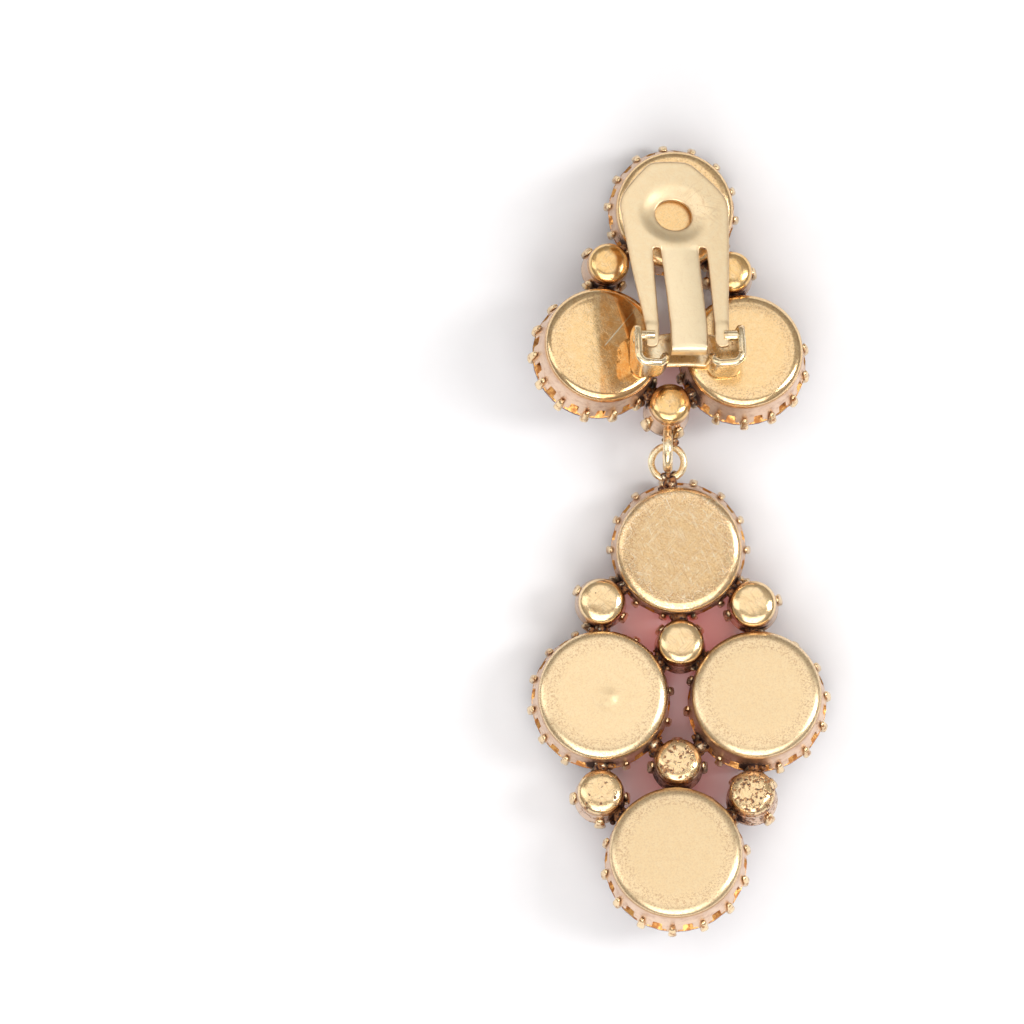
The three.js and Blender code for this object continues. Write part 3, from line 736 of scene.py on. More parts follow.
def brilliant(seat, glass, foil):
    """A round cut stone: table, star, kite and girdle facets, and a foiled pointed back."""
    radius = seat["radius"] + STONE_SHOWS
    table = seat["radius"] * TABLE_SHARE
    low = -GIRDLE / 2 - 2 * seat["radius"] * CROWN_SHARE
    edge = -GIRDLE / 2
    point = STONE_FILL[seat["large"]] * 0.995
    mains = 8
    step = 2 * math.pi / mains
    corners = [Vector((0, 0, point))]

    def at(r, angle, z):
        corners.append(Vector((r * math.cos(angle), r * math.sin(angle), z)))

    def kite(rho):
        return low + (rho - table) * (edge - low) / (radius - table)

    def pavilion(rho):
        return point - rho * (point - GIRDLE / 2) / radius

    for k in range(mains):
        angle = k * step
        at(table, angle, low)
        star = 0.8 * radius
        at(star, angle + step / 2, kite(star * math.cos(step / 2)))
        lower = 0.3 * radius
        at(lower, angle + step / 2, pavilion(lower * math.cos(step / 2)))
        for part in range(4):
            at(radius, angle + part * step / 4, edge)
            at(radius, angle + part * step / 4, GIRDLE / 2)
    work = bmesh.new()
    for corner in corners:
        work.verts.new(corner)
    made = bmesh.ops.convex_hull(work, input=work.verts)
    loose = [e for e in made["geom_interior"] if isinstance(e, bmesh.types.BMVert)]
    bmesh.ops.delete(work, geom=loose, context="VERTS")
    bmesh.ops.dissolve_limit(
        work, angle_limit=math.radians(0.6), verts=work.verts, edges=work.edges
    )
    bmesh.ops.recalc_face_normals(work, faces=work.faces)
    for face in work.faces:
        face.material_index = 1 if face.calc_center_median().z > GIRDLE * 0.6 else 0
        face.smooth = False
    mesh = bpy.data.meshes.new(seat["name"] + "_cut")
    work.to_mesh(mesh)
    work.free()
    mesh.transform(seat["matrix"])
    mesh.materials.append(glass)
    mesh.materials.append(foil)
    return new_object(mesh.name, mesh)


def cut_corners(loop, rounds):
    """Rounds a closed outline by cutting its corners again and again."""
    for _ in range(rounds):
        made = []
        for i, (x, y) in enumerate(loop):
            nx, ny = loop[(i + 1) % len(loop)]
            made.append((0.75 * x + 0.25 * nx, 0.75 * y + 0.25 * ny))
            made.append((0.25 * x + 0.75 * nx, 0.25 * y + 0.75 * ny))
        loop = made
    return loop


def spaced(loop, spacing):
    """The outline with points no further apart than the spacing, and none doubled."""
    made = []
    for i, (x, y) in enumerate(loop):
        nx, ny = loop[(i + 1) % len(loop)]
        distance = math.hypot(nx - x, ny - y)
        if distance < 1e-6:
            continue
        parts = max(1, math.ceil(distance / spacing))
        for k in range(parts):
            made.append((x + (nx - x) * k / parts, y + (ny - y) * k / parts))
    return made


def border_distance(points, loops):
    """Distance of each point from the nearest edge of the outlines, and whether it is inside."""
    nearest = np.full(len(points), 1e9)
    inside = np.zeros(len(points), bool)
    for loop in loops:
        a = np.array(loop)
        b = np.roll(a, -1, axis=0)
        for (ax, ay), (bx, by) in zip(a, b):
            dx, dy = bx - ax, by - ay
            px, py = points[:, 0] - ax, points[:, 1] - ay
            t = np.clip((px * dx + py * dy) / (dx * dx + dy * dy), 0, 1)
            nearest = np.minimum(nearest, np.hypot(px - t * dx, py - t * dy))
            if dy != 0:
                crosses = (points[:, 1] >= min(ay, by)) & (points[:, 1] < max(ay, by))
                inside ^= crosses & (points[:, 0] < ax + (points[:, 1] - ay) * dx / dy)
    return nearest, inside


def sheet(name, loops, thickness, rounding, spacing, bend, material, matrix, marks=None):
    """A sheet cut to its outlines, with rounded edges, then bent into its shape.

    bend takes arrays of x, y and height over the middle of the sheet, and gives x, y, z.
    """
    loops = [spaced(loop, spacing) for loop in loops]
    border, edges = [], []
    for loop in loops:
        start = len(border)
        border.extend(loop)
        edges.extend((start + i, start + (i + 1) % len(loop)) for i in range(len(loop)))
    rows = np.array(border)
    extra = []
    for i, j in edges:
        ax, ay = rows[i]
        bx, by = rows[j]
        nx, ny = -(by - ay), bx - ax
        size = math.hypot(nx, ny)
        for d in (0.12, 0.35, 0.7, 1.05):
            for way in (1, -1):
                push = way * d * rounding / size
                extra.append(((ax + bx) / 2 + nx * push, (ay + by) / 2 + ny * push))
    extra = np.array(extra)
    near, inside = border_distance(extra, loops)
    extra = extra[inside & (near > 0.1 * rounding)]
    lo, hi = rows.min(0), rows.max(0)
    gx = np.arange(lo[0], hi[0], spacing)
    gy = np.arange(lo[1], hi[1], spacing)
    grid = np.stack(np.meshgrid(gx, gy), axis=2).reshape(-1, 2)
    near, inside = border_distance(grid, loops)
    grid = grid[inside & (near > rounding * 1.3)]
    flat = [Vector(p) for p in np.vstack([rows, extra, grid])]
    made = geometry.delaunay_2d_cdt(flat, edges, [], 0, 1e-9)
    places = np.array([tuple(v) for v in made[0]])
    triangles = np.array([tuple(f) for f in made[2]])
    middles = places[triangles].mean(axis=1)
    triangles = triangles[border_distance(middles, loops)[1]]
    near, _ = border_distance(places, loops)
    away = np.clip(rounding - near, 0, rounding)
    half = thickness / 2 - (rounding - np.sqrt(np.maximum(rounding**2 - away**2, 0)))
    top = np.stack(bend(places[:, 0], places[:, 1], half), axis=1)
    bottom = np.stack(bend(places[:, 0], places[:, 1], -half), axis=1)
    count = len(places)
    faces = [tuple(t) for t in triangles]
    faces += [tuple(int(v) + count for v in reversed(t)) for t in triangles]
    sides = {(t[i], t[(i + 1) % 3]): True for t in triangles.tolist() for i in range(3)}
    faces += [(b, a, a + count, b + count) for a, b in sides if (b, a) not in sides]
    faces = [tuple(int(v) for v in f) for f in faces]
    values = {}
    for mark, rule in (marks or {}).items():
        value = rule(places[:, 0], places[:, 1], near)
        values[mark] = np.concatenate([value, value])
    return make_piece(name, np.vstack([top, bottom]), faces, material, matrix, values)


def ellipse(across, up, half_wide, half_high, count):
    """An outline of count points round an ellipse."""
    turns = [2 * math.pi * i / count for i in range(count)]
    return [(across + half_wide * math.cos(a), up + half_high * math.sin(a)) for a in turns]


def leg_inside(clip):
    """From the middle line to the inner side of a leg."""
    return clip.base_length / 2 - clip.ear_width + clip.ear_sheet + clip.leg_gap


def paddle_loops(clip):
    """The paddle's outline with its two slots and folded tongue, and the hole."""
    right = paddle_side(clip, 0.0, 0.33 * MM, 0.5)
    left = paddle_side(clip, 0.35 * MM, -0.12 * MM, 0.62)
    outline = cut_corners(right + [(-x, y) for x, y in reversed(left)], 3)
    hole_y = clip.paddle_length - clip.hole_from_tip
    hole = ellipse(-clip.hole_aside, hole_y, clip.hole_width / 2, clip.hole_length / 2, 64)
    return [outline, hole]


def paddle_side(clip, outward, inward, shoulder):
    """One side of the outline, from the tip round a leg to the tongue.

    The leg is wider than its named width by outward and inward. shoulder is how much of the
    widest part the outline keeps over the leg.
    """
    tongue = clip.tongue_width / 2
    leg_inner = leg_inside(clip)
    leg_outer = leg_inner + clip.leg_width + outward
    leg_inner -= inward
    top = clip.slot_length - clip.slot_width / 2
    wide = clip.slot_width
    tall = clip.paddle_length
    half = [(across * clip.paddle_width, tall * (1 - along)) for along, across in PADDLE_OUTLINE]
    return half + [
        (leg_outer + (clip.paddle_width * 0.492 - leg_outer) * shoulder, tall * 0.36),
        (leg_outer, clip.leg_end),
        (leg_outer, -clip.leg_end * 0.4),
        (leg_outer, -clip.leg_end),
        (leg_inner, -clip.leg_end),
        (leg_inner, clip.leg_end),
        (tongue + wide, top),
        (tongue + wide * 0.8, top + wide * 0.5),
        (tongue + wide * 0.2, top + wide * 0.5),
        (tongue, top),
        (tongue, 0),
        (tongue, -clip.leg_end - clip.tongue_lip * 0.85),
        (tongue * 0.9, -clip.leg_end - clip.tongue_lip),
    ]


def paddle_bend(clip):
    """Skews the flat sheet, dishes it round its hole and folds the tongue's end down."""
    hole_y = clip.paddle_length - clip.hole_from_tip
    fold = clip.paddle_sheet * 0.9
    start = -clip.leg_end + fold * 0.6

    def bend(x, y, h):
        skewed = x - np.maximum(y - clip.leg_end, 0) * math.tan(clip.skew)
        aside = x + clip.hole_aside
        across = (aside / clip.hole_width * 2) ** 2 + ((y - hole_y) / clip.hole_length * 2) ** 2
        away = np.clip((np.sqrt(across) - 1) / 1.05, 0, 1)
        dish = -clip.dish * (1 - away) ** 2 * (1 + 2 * away)
        crown = -0.12 * MM * (x / clip.paddle_width * 2) ** 2 * (y > clip.leg_end)
        on_tongue = (np.abs(x) < clip.tongue_width / 2 + 1e-6) & (y < clip.slot_length)
        spring = np.where(on_tongue, -0.1 * MM * (x / clip.tongue_width * 2) ** 2, 0)
        level = h + dish + crown + spring
        angle = np.clip((start - y) / fold, 0, math.pi / 2)
        beyond = np.maximum(start - y - fold * math.pi / 2, 0)
        bent = (y < start) & on_tongue
        folded_y = start - (fold + h) * np.sin(angle)
        folded_z = -fold + (fold + h) * np.cos(angle) - beyond
        return skewed, np.where(bent, folded_y, y), np.where(bent, folded_z, level)

    return bend


def ear_path(clip):
    """Plan of an ear from the tip end of its outer arm round the bend to its short inner end."""
    outer = clip.base_length / 2 - clip.ear_sheet / 2
    inner = clip.base_length / 2 - clip.ear_width + clip.ear_sheet / 2
    r = clip.ear_bend - clip.ear_sheet / 2
    y0 = -clip.ear_back + clip.ear_sheet / 2
    points = [(outer, clip.ear_front)]
    for i in range(9):
        a = -i / 8 * math.pi / 2
        points.append((outer - r + r * math.cos(a), y0 + r + r * math.sin(a)))
    for i in range(9):
        a = -math.pi / 2 - i / 8 * math.pi / 2
        points.append((inner + r + r * math.cos(a), y0 + r + r * math.sin(a)))
    points.append((inner, y0 + r + 0.55 * MM))
    return np.array(points)


def along_path(path, distance):
    """Place and outward normal at distances along a plan path."""
    steps = np.hypot(*np.diff(path, axis=0).T)
    reach = np.concatenate([[0], np.cumsum(steps)])
    x = np.interp(distance, reach, path[:, 0])
    y = np.interp(distance, reach, path[:, 1])
    ahead, behind = distance + 0.12 * MM, distance - 0.12 * MM
    dx = np.interp(ahead, reach, path[:, 0]) - np.interp(behind, reach, path[:, 0])
    dy = np.interp(ahead, reach, path[:, 1]) - np.interp(behind, reach, path[:, 1])
    size = np.maximum(np.hypot(dx, dy), 1e-12)
    return x, y, -dy / size, dx / size, reach[-1]


def pin_mesh(clip, side):
    """A hinge pin with a domed head outside the ear, as a turned shape on the hinge line."""
    start = leg_inside(clip) + clip.leg_width / 2
    end = clip.base_length / 2 + clip.ear_sheet / 3
    pin = Rings(even_angles(32))
    for share_of_radius, reach in (
        (0.9, start),
        (1.0, start + 0.05 * MM),
        (1.0, end - 0.2 * MM),
        (0.93, end - 0.08 * MM),
        (0.75, end - 0.02 * MM),
        (0.4, end),
    ):
        pin.add(share_of_radius * clip.hinge_pin / 2, reach)
    points, faces = pin.shell()
    return [(side * z, x, y) for x, y, z in points], faces


def feed(tree, node, inputs):
    """Sets a node's inputs to values, or links sockets to them."""
    for key, value in inputs.items():
        if isinstance(value, bpy.types.NodeSocket):
            tree.links.new(value, node.inputs[key])
        else:
            node.inputs[key].default_value = value


def put(tree, kind, inputs=None, **settings):
    """A new node with its settings and its inputs."""
    made = tree.nodes.new(kind)
    for key, value in settings.items():
        setattr(made, key, value)
    feed(tree, made, inputs or {})
    return made


def maths(tree, operation, a, b=0.0, c=0.0):
    return put(tree, "ShaderNodeMath", {0: a, 1: b, 2: c}, operation=operation).outputs[0]


def blend(tree, mask, a, b):
    """Mixes two colours, or a colour and a socket, by a mask."""
    return put(tree, "ShaderNodeMix", {0: mask, 6: a, 7: b}, data_type="RGBA").outputs[2]


def blend_value(tree, mask, a, b):
    """Mixes two values by a mask."""
    return put(tree, "ShaderNodeMix", {0: mask, 2: a, 3: b}, data_type="FLOAT").outputs[0]


def between(tree, value, low, high, out_low=0.0, out_high=1.0):
    """A soft step from out_low to out_high as the value goes from low to high."""
    rows = {"Value": value, "From Min": low, "From Max": high}
    rows.update({"To Min": out_low, "To Max": out_high})
    return put(tree, "ShaderNodeMapRange", rows, interpolation_type="SMOOTHSTEP").outputs[0]


def cloud(tree, vector, scale, detail=3.0, roughness=0.55, distortion=0.0):
    """Noise about 0.5."""
    rows = {"Vector": vector, "Scale": scale, "Detail": detail}
    rows.update({"Roughness": roughness, "Distortion": distortion})
    return put(tree, "ShaderNodeTexNoise", rows).outputs["Fac"]


def mapped(tree, vector, location=(0, 0, 0), turn=0.0, stretch=(1, 1, 1)):
    """The vector in the frame of a pattern that lies at a place, turned and stretched."""
    rows = {"Vector": vector, "Location": location, "Rotation": (0, 0, turn), "Scale": stretch}
    return put(tree, "ShaderNodeMapping", rows, vector_type="TEXTURE").outputs[0]


def rgba(value):
    return (*value, 1.0)


def new_group(name, inputs, outputs, kind="ShaderNodeTree"):
    """A node group with its inputs' sockets and its output node's sockets.

    inputs are rows of label, kind of socket and default, outputs of label and kind.
    """
    tree = bpy.data.node_groups.new(name, kind)
    for label, socket, default in inputs:
        made = tree.interface.new_socket(
            label, in_out="INPUT", socket_type="NodeSocket" + socket
        )
        if default is not None:
            made.default_value = default
    for label, socket in outputs:
        tree.interface.new_socket(label, in_out="OUTPUT", socket_type="NodeSocket" + socket)
    return tree, put(tree, "NodeGroupInput").outputs, put(tree, "NodeGroupOutput").inputs


def mask_group(name, values, masks):
    """A shader group that takes a vector and values, and gives masks."""
    inputs = [("Vector", "Vector", None)]
    inputs += [(label, "Float", default) for label, default in values.items()]
    return new_group(name, inputs, [(label, "Float") for label in masks])


# Each set of hair scratches: its direction, how narrow it is for its length, and its weight
HAIRS = [(0.4, 0.05, 1.0), (1.3, 0.08, 0.7), (2.4, 0.04, 0.9), (0.9, 0.06, 0.8)]


def scratches_group():
    """Fine hair scratches in four directions, broken up so that they start and stop."""
    values = {"Scale": 3.0, "Width": 0.026, "Amount": 0.5}
    tree, given, out = mask_group("Hair scratches", values, ["Mask"])
    core = maths(tree, "MULTIPLY", given["Width"], 0.15)
    total = 0.0
    for angle, narrow, weight in HAIRS:
        turned = mapped(tree, given["Vector"], turn=angle, stretch=(1, 1 / narrow, 2.5))
        hair = cloud(tree, turned, given["Scale"], 2.0, 0.6)
        away = maths(tree, "ABSOLUTE", maths(tree, "SUBTRACT", hair, 0.5))
        line = between(tree, away, given["Width"], core)
        broken = mapped(tree, given["Vector"], turn=angle, stretch=(1, 2.5, 1))
        patch = between(tree, cloud(tree, broken, 1.3, 2.0), 0.46, 0.54)
        part = maths(tree, "MULTIPLY", maths(tree, "MULTIPLY", line, patch), weight)
        total = maths(tree, "MAXIMUM", total, part)
    tree.links.new(maths(tree, "MULTIPLY", total, given["Amount"]), out["Mask"])
    return tree


def pits_group():
    """Small dark pits and eaten patches in old gilding."""
    tree, given, out = mask_group("Pits", {"Scale": 2.0, "Amount": 0.5}, ["Mask"])
    vector, amount = given["Vector"], given["Amount"]
    cells = put(tree, "ShaderNodeTexVoronoi", {"Vector": vector, "Scale": given["Scale"]})
    size = between(tree, cloud(tree, vector, 1.1, 2.0), 0.4, 0.72, 0.0, 0.5)
    beyond = maths(
        tree, "SUBTRACT", cells.outputs["Distance"], maths(tree, "MULTIPLY", size, amount)
    )
    spots = between(tree, beyond, 0.06, -0.04)
    level = maths(tree, "SUBTRACT", 0.86, maths(tree, "MULTIPLY", amount, 0.33))
    eaten = maths(tree, "SUBTRACT", cloud(tree, vector, 2.2, 4.0, 0.6, 0.4), level)
    mask = maths(tree, "MAXIMUM", spots, between(tree, eaten, 0.0, 0.05))
    tree.links.new(maths(tree, "MINIMUM", mask, 1.0), out["Mask"])
    return tree


def tarnish_group():
    """Turns a soft nearness into ragged dark tarnish, and a wider brown stain round it."""
    values = {"Nearness": 0.0, "Scale": 2.5}
    tree, given, out = mask_group("Tarnish", values, ["Dark", "Stain"])
    ragged = cloud(tree, given["Vector"], given["Scale"], 5.0, 0.65, 0.3)
    wide = maths(tree, "MULTIPLY_ADD", ragged, 0.9, given["Nearness"])
    tree.links.new(between(tree, wide, 0.86, 1.08), out["Dark"])
    tree.links.new(between(tree, wide, 0.58, 1.0), out["Stain"])
    return tree


def grain_group():
    """Satin grain and soft dents, as a height."""
    tree, given, out = mask_group("Satin grain", {"Grain": 0.5, "Dents": 0.5}, ["Height"])
    vector = given["Vector"]
    fine = maths(tree, "MULTIPLY", cloud(tree, vector, 14.0, 3.0, 0.6), given["Grain"])
    soft = maths(tree, "MULTIPLY", cloud(tree, vector, 0.8, 2.0), given["Dents"])
    tree.links.new(maths(tree, "ADD", fine, soft), out["Height"])
    return tree


class Coat:
    """A material in the making: the colour so far, and what is painted over it by masks."""

    def __init__(self, palette, name, colour=None):
        self.finishes = palette.finishes
        self.groups = palette.groups
        self.material = bpy.data.materials.new(name)
        self.material.use_nodes = True
        self.tree = self.material.node_tree
        self.shader = self.tree.nodes["Principled BSDF"]
        place = put(self.tree, "ShaderNodeTexCoord").outputs["Object"]
        scaled = {"Vector": place, "Scale": (1000, 1000, 1000)}
        self.place = put(self.tree, "ShaderNodeMapping", scaled).outputs[0]  # in millimetres
        self.colour = self.paint(colour) if colour else None

    def paint(self, name):
        """A colour of the finishes."""
        return rgba(getattr(self.finishes, name))

    def mark(self, name):
        """A mask that the mesh carries."""
        return put(self.tree, "ShaderNodeAttribute", attribute_name=name).outputs["Fac"]

    def cloud(self, *settings):
        return cloud(self.tree, self.place, *settings)

    def spots(self, settings, low, high, *out):
        """Patches where the noise with these settings is high."""
        return between(self.tree, self.cloud(*settings), low, high, *out)

    def maths(self, operation, *values):
        return maths(self.tree, operation, *values)

    def times(self, *values):
        """The product of masks and numbers."""
        total = values[0]
        for value in values[1:]:
            total = self.maths("MULTIPLY", total, value)
        return total

    def plus(self, value, factor, base):
        """The base and so much of the value."""
        return self.maths("MULTIPLY_ADD", value, factor, base)

    def over(self, paint, *masks):
        """Lays a colour over what is there, as thick as the product of the masks."""
        if isinstance(paint, str):
            paint = self.paint(paint)
        self.colour = blend(self.tree, self.times(*masks), self.colour, paint)

    def group(self, name, **inputs):
        """The outputs of one of the palette's node groups."""
        inputs["Vector"] = self.place
        return put(self.tree, "ShaderNodeGroup", inputs, node_tree=self.groups[name]).outputs

    def scratches(self, **inputs):
        return self.group("scratches", **inputs)["Mask"]

    # The soot mark holds tarnish near the solder and painted shade on the walls that face the
    # gaps
    def tarnish(self, scale):
        return self.group("tarnish", Nearness=self.mark("soot"), Scale=scale)

    def long_scratch(self, start, end):
        """A single straight scratch between two places in millimetres."""
        run = Vector(end) - Vector(start)
        local = mapped(self.tree, self.place, (*start, 0), math.atan2(run.y, run.x))
        parts = put(self.tree, "ShaderNodeSeparateXYZ", {0: local}).outputs
        thin = between(self.tree, self.maths("ABSOLUTE", parts[1]), 0.09, 0.03)
        half = run.length / 2
        aside = self.maths("ABSOLUTE", self.maths("SUBTRACT", parts[0], half))
        return self.times(thin, between(self.tree, aside, half, half - 0.5))

    def relief(self, grain, dents, *cut):
        """A height of satin grain and soft dents, less the product of what cuts into it."""
        height = self.group("grain", Grain=grain, Dents=dents)["Height"]
        return self.maths("SUBTRACT", height, self.times(*cut)) if cut else height

    def finish(self, rough, height, strength, distance, metal=1.0):
        """Links the finish to the shader, and gives the material."""
        rows = {"Height": height, "Strength": strength, "Distance": distance * MM}
        normal = put(self.tree, "ShaderNodeBump", rows).outputs["Normal"]
        rows = {"Base Color": self.colour, "Roughness": rough, "Normal": normal}
        feed(self.tree, self.shader, {**rows, "Metallic": metal})
        return self.material


class Palette:
    """The materials, made once from the finishes."""

    def __init__(self, finishes):
        self.finishes = finishes
        self.groups = {
            "scratches": scratches_group(),
            "pits": pits_group(),
            "tarnish": tarnish_group(),
            "grain": grain_group(),
        }
        self.backs = self.gilt_backs()
        self.domes = self.gilt_domes()
        self.claws = self.gilt_claws()
        self.solder = self.dark_solder()
        self.wire = self.gilt_wire("Gilt wire", 0.24)
        self.base = self.gilt_wire("Bright clip gilt", 0.2)
        self.paddle = self.gilt_paddle()
        self.glass = self.red_glass()
        self.foil = self.gold_foil()
        self.paper = self.pale_paper()

    def gilt_backs(self):
        """Large cups: satin backs with rims painted paler as highlight, pink walls, and grooves
        painted brown as shade.
        """
        coat = Coat(self, "Satin gilt backs", "satin")
        rim, wall, matt = coat.mark("rim"), coat.mark("wall"), coat.mark("matt")
        # Warmer colour on some backs: partly a painted reflection of warm light bounced off the
        # gilt round them
        coat.over("amber_and_bounce", coat.mark("warm"))
        coat.over("pale", coat.spots((2.2, 4.0, 0.7), 0.42, 0.62), 0.22)
        # A painted reflection of the paddle's underside, in streaks, on the side of one back next
        # to the clip
        across = put(coat.tree, "ShaderNodeSeparateXYZ", {0: coat.place}).outputs[0]
        kept = between(coat.tree, across, *PADDLE_REFLECTION_EDGE)
        reflection_streaks = coat.spots((0.9, 4.0, 0.7), 0.36, 0.62, 0.95, 0.45)
        coat.over("lacquer", kept, coat.mark("lacquer"), reflection_streaks)
        speckle = coat.spots((5.5, 5.0, 0.78), 0.46, 0.62)
        near_rim = between(coat.tree, rim, 0.0, 0.5)
        coat.over("brown", speckle, coat.plus(near_rim, 0.45, 0.14))
        # The rounded rims are painted paler: a painted highlight
        coat.over("pale", rim, 0.2)
        coat.over("pink", wall)
        coat.over("brown", coat.spots((1.1, 5.0, 0.7), 0.45, 0.68), wall, 0.45)
        # Painted shade: the grooves under the rims and at the lips painted brown
        coat.over("brown", coat.mark("groove"))
        scuff = coat.times(coat.mark("scuff"), 2 * self.finishes.wear)
        coat.over("brown", coat.spots((6.5, 4.0, 0.85), 0.44, 0.58), scuff, 0.32)
        lines = coat.scratches(Scale=3.4, Amount=scuff)
        coat.over("brown", lines, 0.4)
        hairs = coat.scratches(Scale=2.4, Width=0.011, Amount=scuff)
        long = coat.times(coat.long_scratch(*SCRATCH_ENDS), 0.8)
        coat.over("shine", coat.maths("MAXIMUM", hairs, long), 0.85)
        # Brown stain and dark tarnish near the solder, and painted shade on the walls facing the
        # gaps
        dark = coat.tarnish(2.6)
        coat.over("brown", dark["Stain"], 0.6)
        coat.over("soot", dark["Dark"], 0.9)
        rough = coat.maths("SUBTRACT", coat.plus(coat.cloud(3.0), 0.14, matt), 0.07)
        rough = blend_value(coat.tree, coat.times(rim, 0.7), rough, 0.22)
        rough = blend_value(coat.tree, wall, rough, 0.36)
        rough = coat.plus(dark["Dark"], 0.3, rough)
        satin = coat.times(matt, 2.3)
        height = coat.relief(coat.times(satin, 0.35), satin, lines, 0.3)
        return coat.finish(rough, height, 0.35, 0.03, coat.plus(dark["Dark"], -0.55, 1.0))

    def gilt_domes(self):
        """Small cups: bright domes, some badly pitted."""
        coat = Coat(self, "Pitted gilt domes", "satin")
        # Warmer colour on the upper domes: partly a painted reflection of warm light bounced off
        # the gilt round them
        coat.over("amber_and_bounce", coat.mark("warm"))
        coat.over("pale", coat.spots((1.6, 4.0, 0.7), 0.42, 0.65), 0.3)
        coat.over("brown", coat.spots((3.2, 5.0, 0.75), 0.52, 0.66), 0.3)
        coat.over("pink", coat.mark("wall"), 0.9)
        # Painted shade: the groove under each dome painted brown
        coat.over("brown", coat.mark("groove"))
        coat.over("brown", coat.scratches(Scale=1.6, Amount=self.finishes.wear), 0.4)
        holes = coat.group("pits", Scale=1.7, Amount=coat.mark("pits"))["Mask"]
        # Brown stain and dark tarnish near the solder, and painted shade on the walls facing the
        # gaps
        dark = coat.tarnish(3.0)
        coat.over("brown", dark["Stain"], 0.7)
        browner = coat.spots((5.0, 3.0), 0.4, 0.56)
        eaten = blend(coat.tree, browner, coat.paint("soot"), coat.paint("brown"))
        coat.over(eaten, holes, 0.9)
        coat.over("soot", dark["Dark"])
        black = coat.maths("MAXIMUM", dark["Dark"], holes)
        rough = coat.plus(black, 0.35, coat.plus(coat.cloud(4.0), 0.14, 0.13))
        height = coat.relief(0.25, 2.6, holes)
        return coat.finish(rough, height, 0.4, 0.04, coat.plus(black, -0.6, 1.0))

    def gilt_claws(self):
        """Claws: gilt that has worn through to brown, dark beside the solder, and painted shade
        near the gaps.
        """
        coat = Coat(self, "Gilt claws", "brown")
        coat.over("satin", coat.spots((1.6, 4.0, 0.65), 0.34, 0.5))
        worn = coat.spots((2.4, 4.0, 0.7), 0.64, 0.74)
        # Dark tarnish beside the solder, and painted shade near the gaps between the cups
        black = coat.maths("MAXIMUM", worn, coat.times(coat.tarnish(2.6)["Dark"], 0.85))
        coat.over("soot", black)
        rough = coat.plus(black, 0.35, 0.24)
        return coat.finish(rough, coat.relief(0.3, 0.8), 0.4, 0.03, coat.plus(black, -0.6, 1.0))

    def dark_solder(self):
        """Solder: dark purple-brown lumps with patches of bare gold."""
        coat = Coat(self, "Tarnished solder", "soot")
        coat.over("brown", coat.spots((3.0,), 0.4, 0.6))
        bare = coat.spots((1.6, 5.0, 0.7, 0.3), 0.54, 0.66)
        coat.over("pale", bare)
        rough = between(coat.tree, bare, 0.0, 1.0, 0.5, 0.22)
        metal = between(coat.tree, bare, 0.0, 1.0, 0.45, 1.0)
        return coat.finish(rough, coat.relief(0.8, 1.0), 0.6, 0.06, metal)

    def gilt_wire(self, name, roughness):
        """Bright gilt for wire and pressed parts, stained brown in places."""
        coat = Coat(self, name, "satin")
        coat.over("pale", coat.spots((0.8, 3.0), 0.35, 0.65))
        coat.over("brown", coat.spots((1.4, 5.0, 0.7, 0.2), 0.54, 0.66), 0.5)
        lines = coat.scratches(Scale=1.6, Amount=self.finishes.wear)
        rough = coat.plus(coat.cloud(5.0), 0.12, roughness - 0.05)
        rough = coat.plus(lines, 0.15, rough)
        return coat.finish(rough, coat.relief(0.2, 1.2, lines, 0.3), 0.4, 0.04)

    def gilt_paddle(self):
        """The paddle: satin gilt, paler on the tongue, scratched beside the hole."""
        coat = Coat(self, "Satin paddle gilt", "satin")
        worn = coat.mark("worn")
        tone = coat.spots((1.8, 4.0, 0.7), 0.42, 0.62)
        coat.over("pale", coat.plus(tone, 0.3, 0.3))
        coat.over("pale", coat.mark("tongue"), 0.6)
        speckle = coat.spots((8.0, 4.0, 0.7), 0.56, 0.68)
        coat.over("brown", speckle, coat.plus(worn, 0.4, 0.15))
        # Painted shade: the rounded edges of the sheet painted brown
        coat.over("brown", coat.mark("edge"), 0.35)
        lines = coat.scratches(Scale=1.2, Amount=coat.plus(worn, 0.7, 0.12))
        coat.over("brown", lines, 0.4)
        rough = coat.plus(coat.cloud(3.0), 0.14, self.finishes.satin_roughness - 0.1)
        return coat.finish(rough, coat.relief(0.3, 1.0, lines, 0.4), 0.35, 0.03)

    def red_glass(self):
        """Garnet-red glass with faint surface wear."""
        coat = Coat(self, "Red cut glass")
        tone = coat.spots((0.5, 2.0), 0.3, 0.7, 0.7, 1.0)
        deep = rgba(c * 0.32 for c in self.finishes.glass)
        rows = {
            "Base Color": blend(coat.tree, tone, deep, coat.paint("glass")),
            "Roughness": coat.spots((6.0, 4.0), 0.55, 0.75, 0.02, 0.12),
            "IOR": 1.62,
            "Transmission Weight": 0.9,
            "Metallic": 0.0,
        }
        feed(coat.tree, coat.shader, rows)
        return coat.material

    def gold_foil(self):
        """Gold foil behind the stone, crackled and brown in places."""
        coat = Coat(self, "Gold foil", "foil")
        tone = coat.spots((1.5, 4.0, 0.7), 0.4, 0.58)
        coat.over("brown", tone)
        return coat.finish(coat.plus(tone, 0.2, 0.25), coat.relief(0.4, 0.4), 0.3, 0.02)

    def pale_paper(self):
        """Plain paper, a little uneven in tone."""
        coat = Coat(self, "Pale paper")
        fibre = coat.spots((0.12, 4.0, 0.6), 0.3, 0.7)
        tint = rgba(c * 0.975 for c in self.finishes.paper)
        tone = blend(coat.tree, fibre, tint, coat.paint("paper"))
        feed(coat.tree, coat.shader, {"Base Color": tone, "Roughness": 0.85})
        return coat.material


_palette = []


def palette():
    """The palette, made when it is first asked for."""
    if not _palette:
        _palette.append(Palette(bpy.context.scene.earring_finishes))
    return _palette[0]


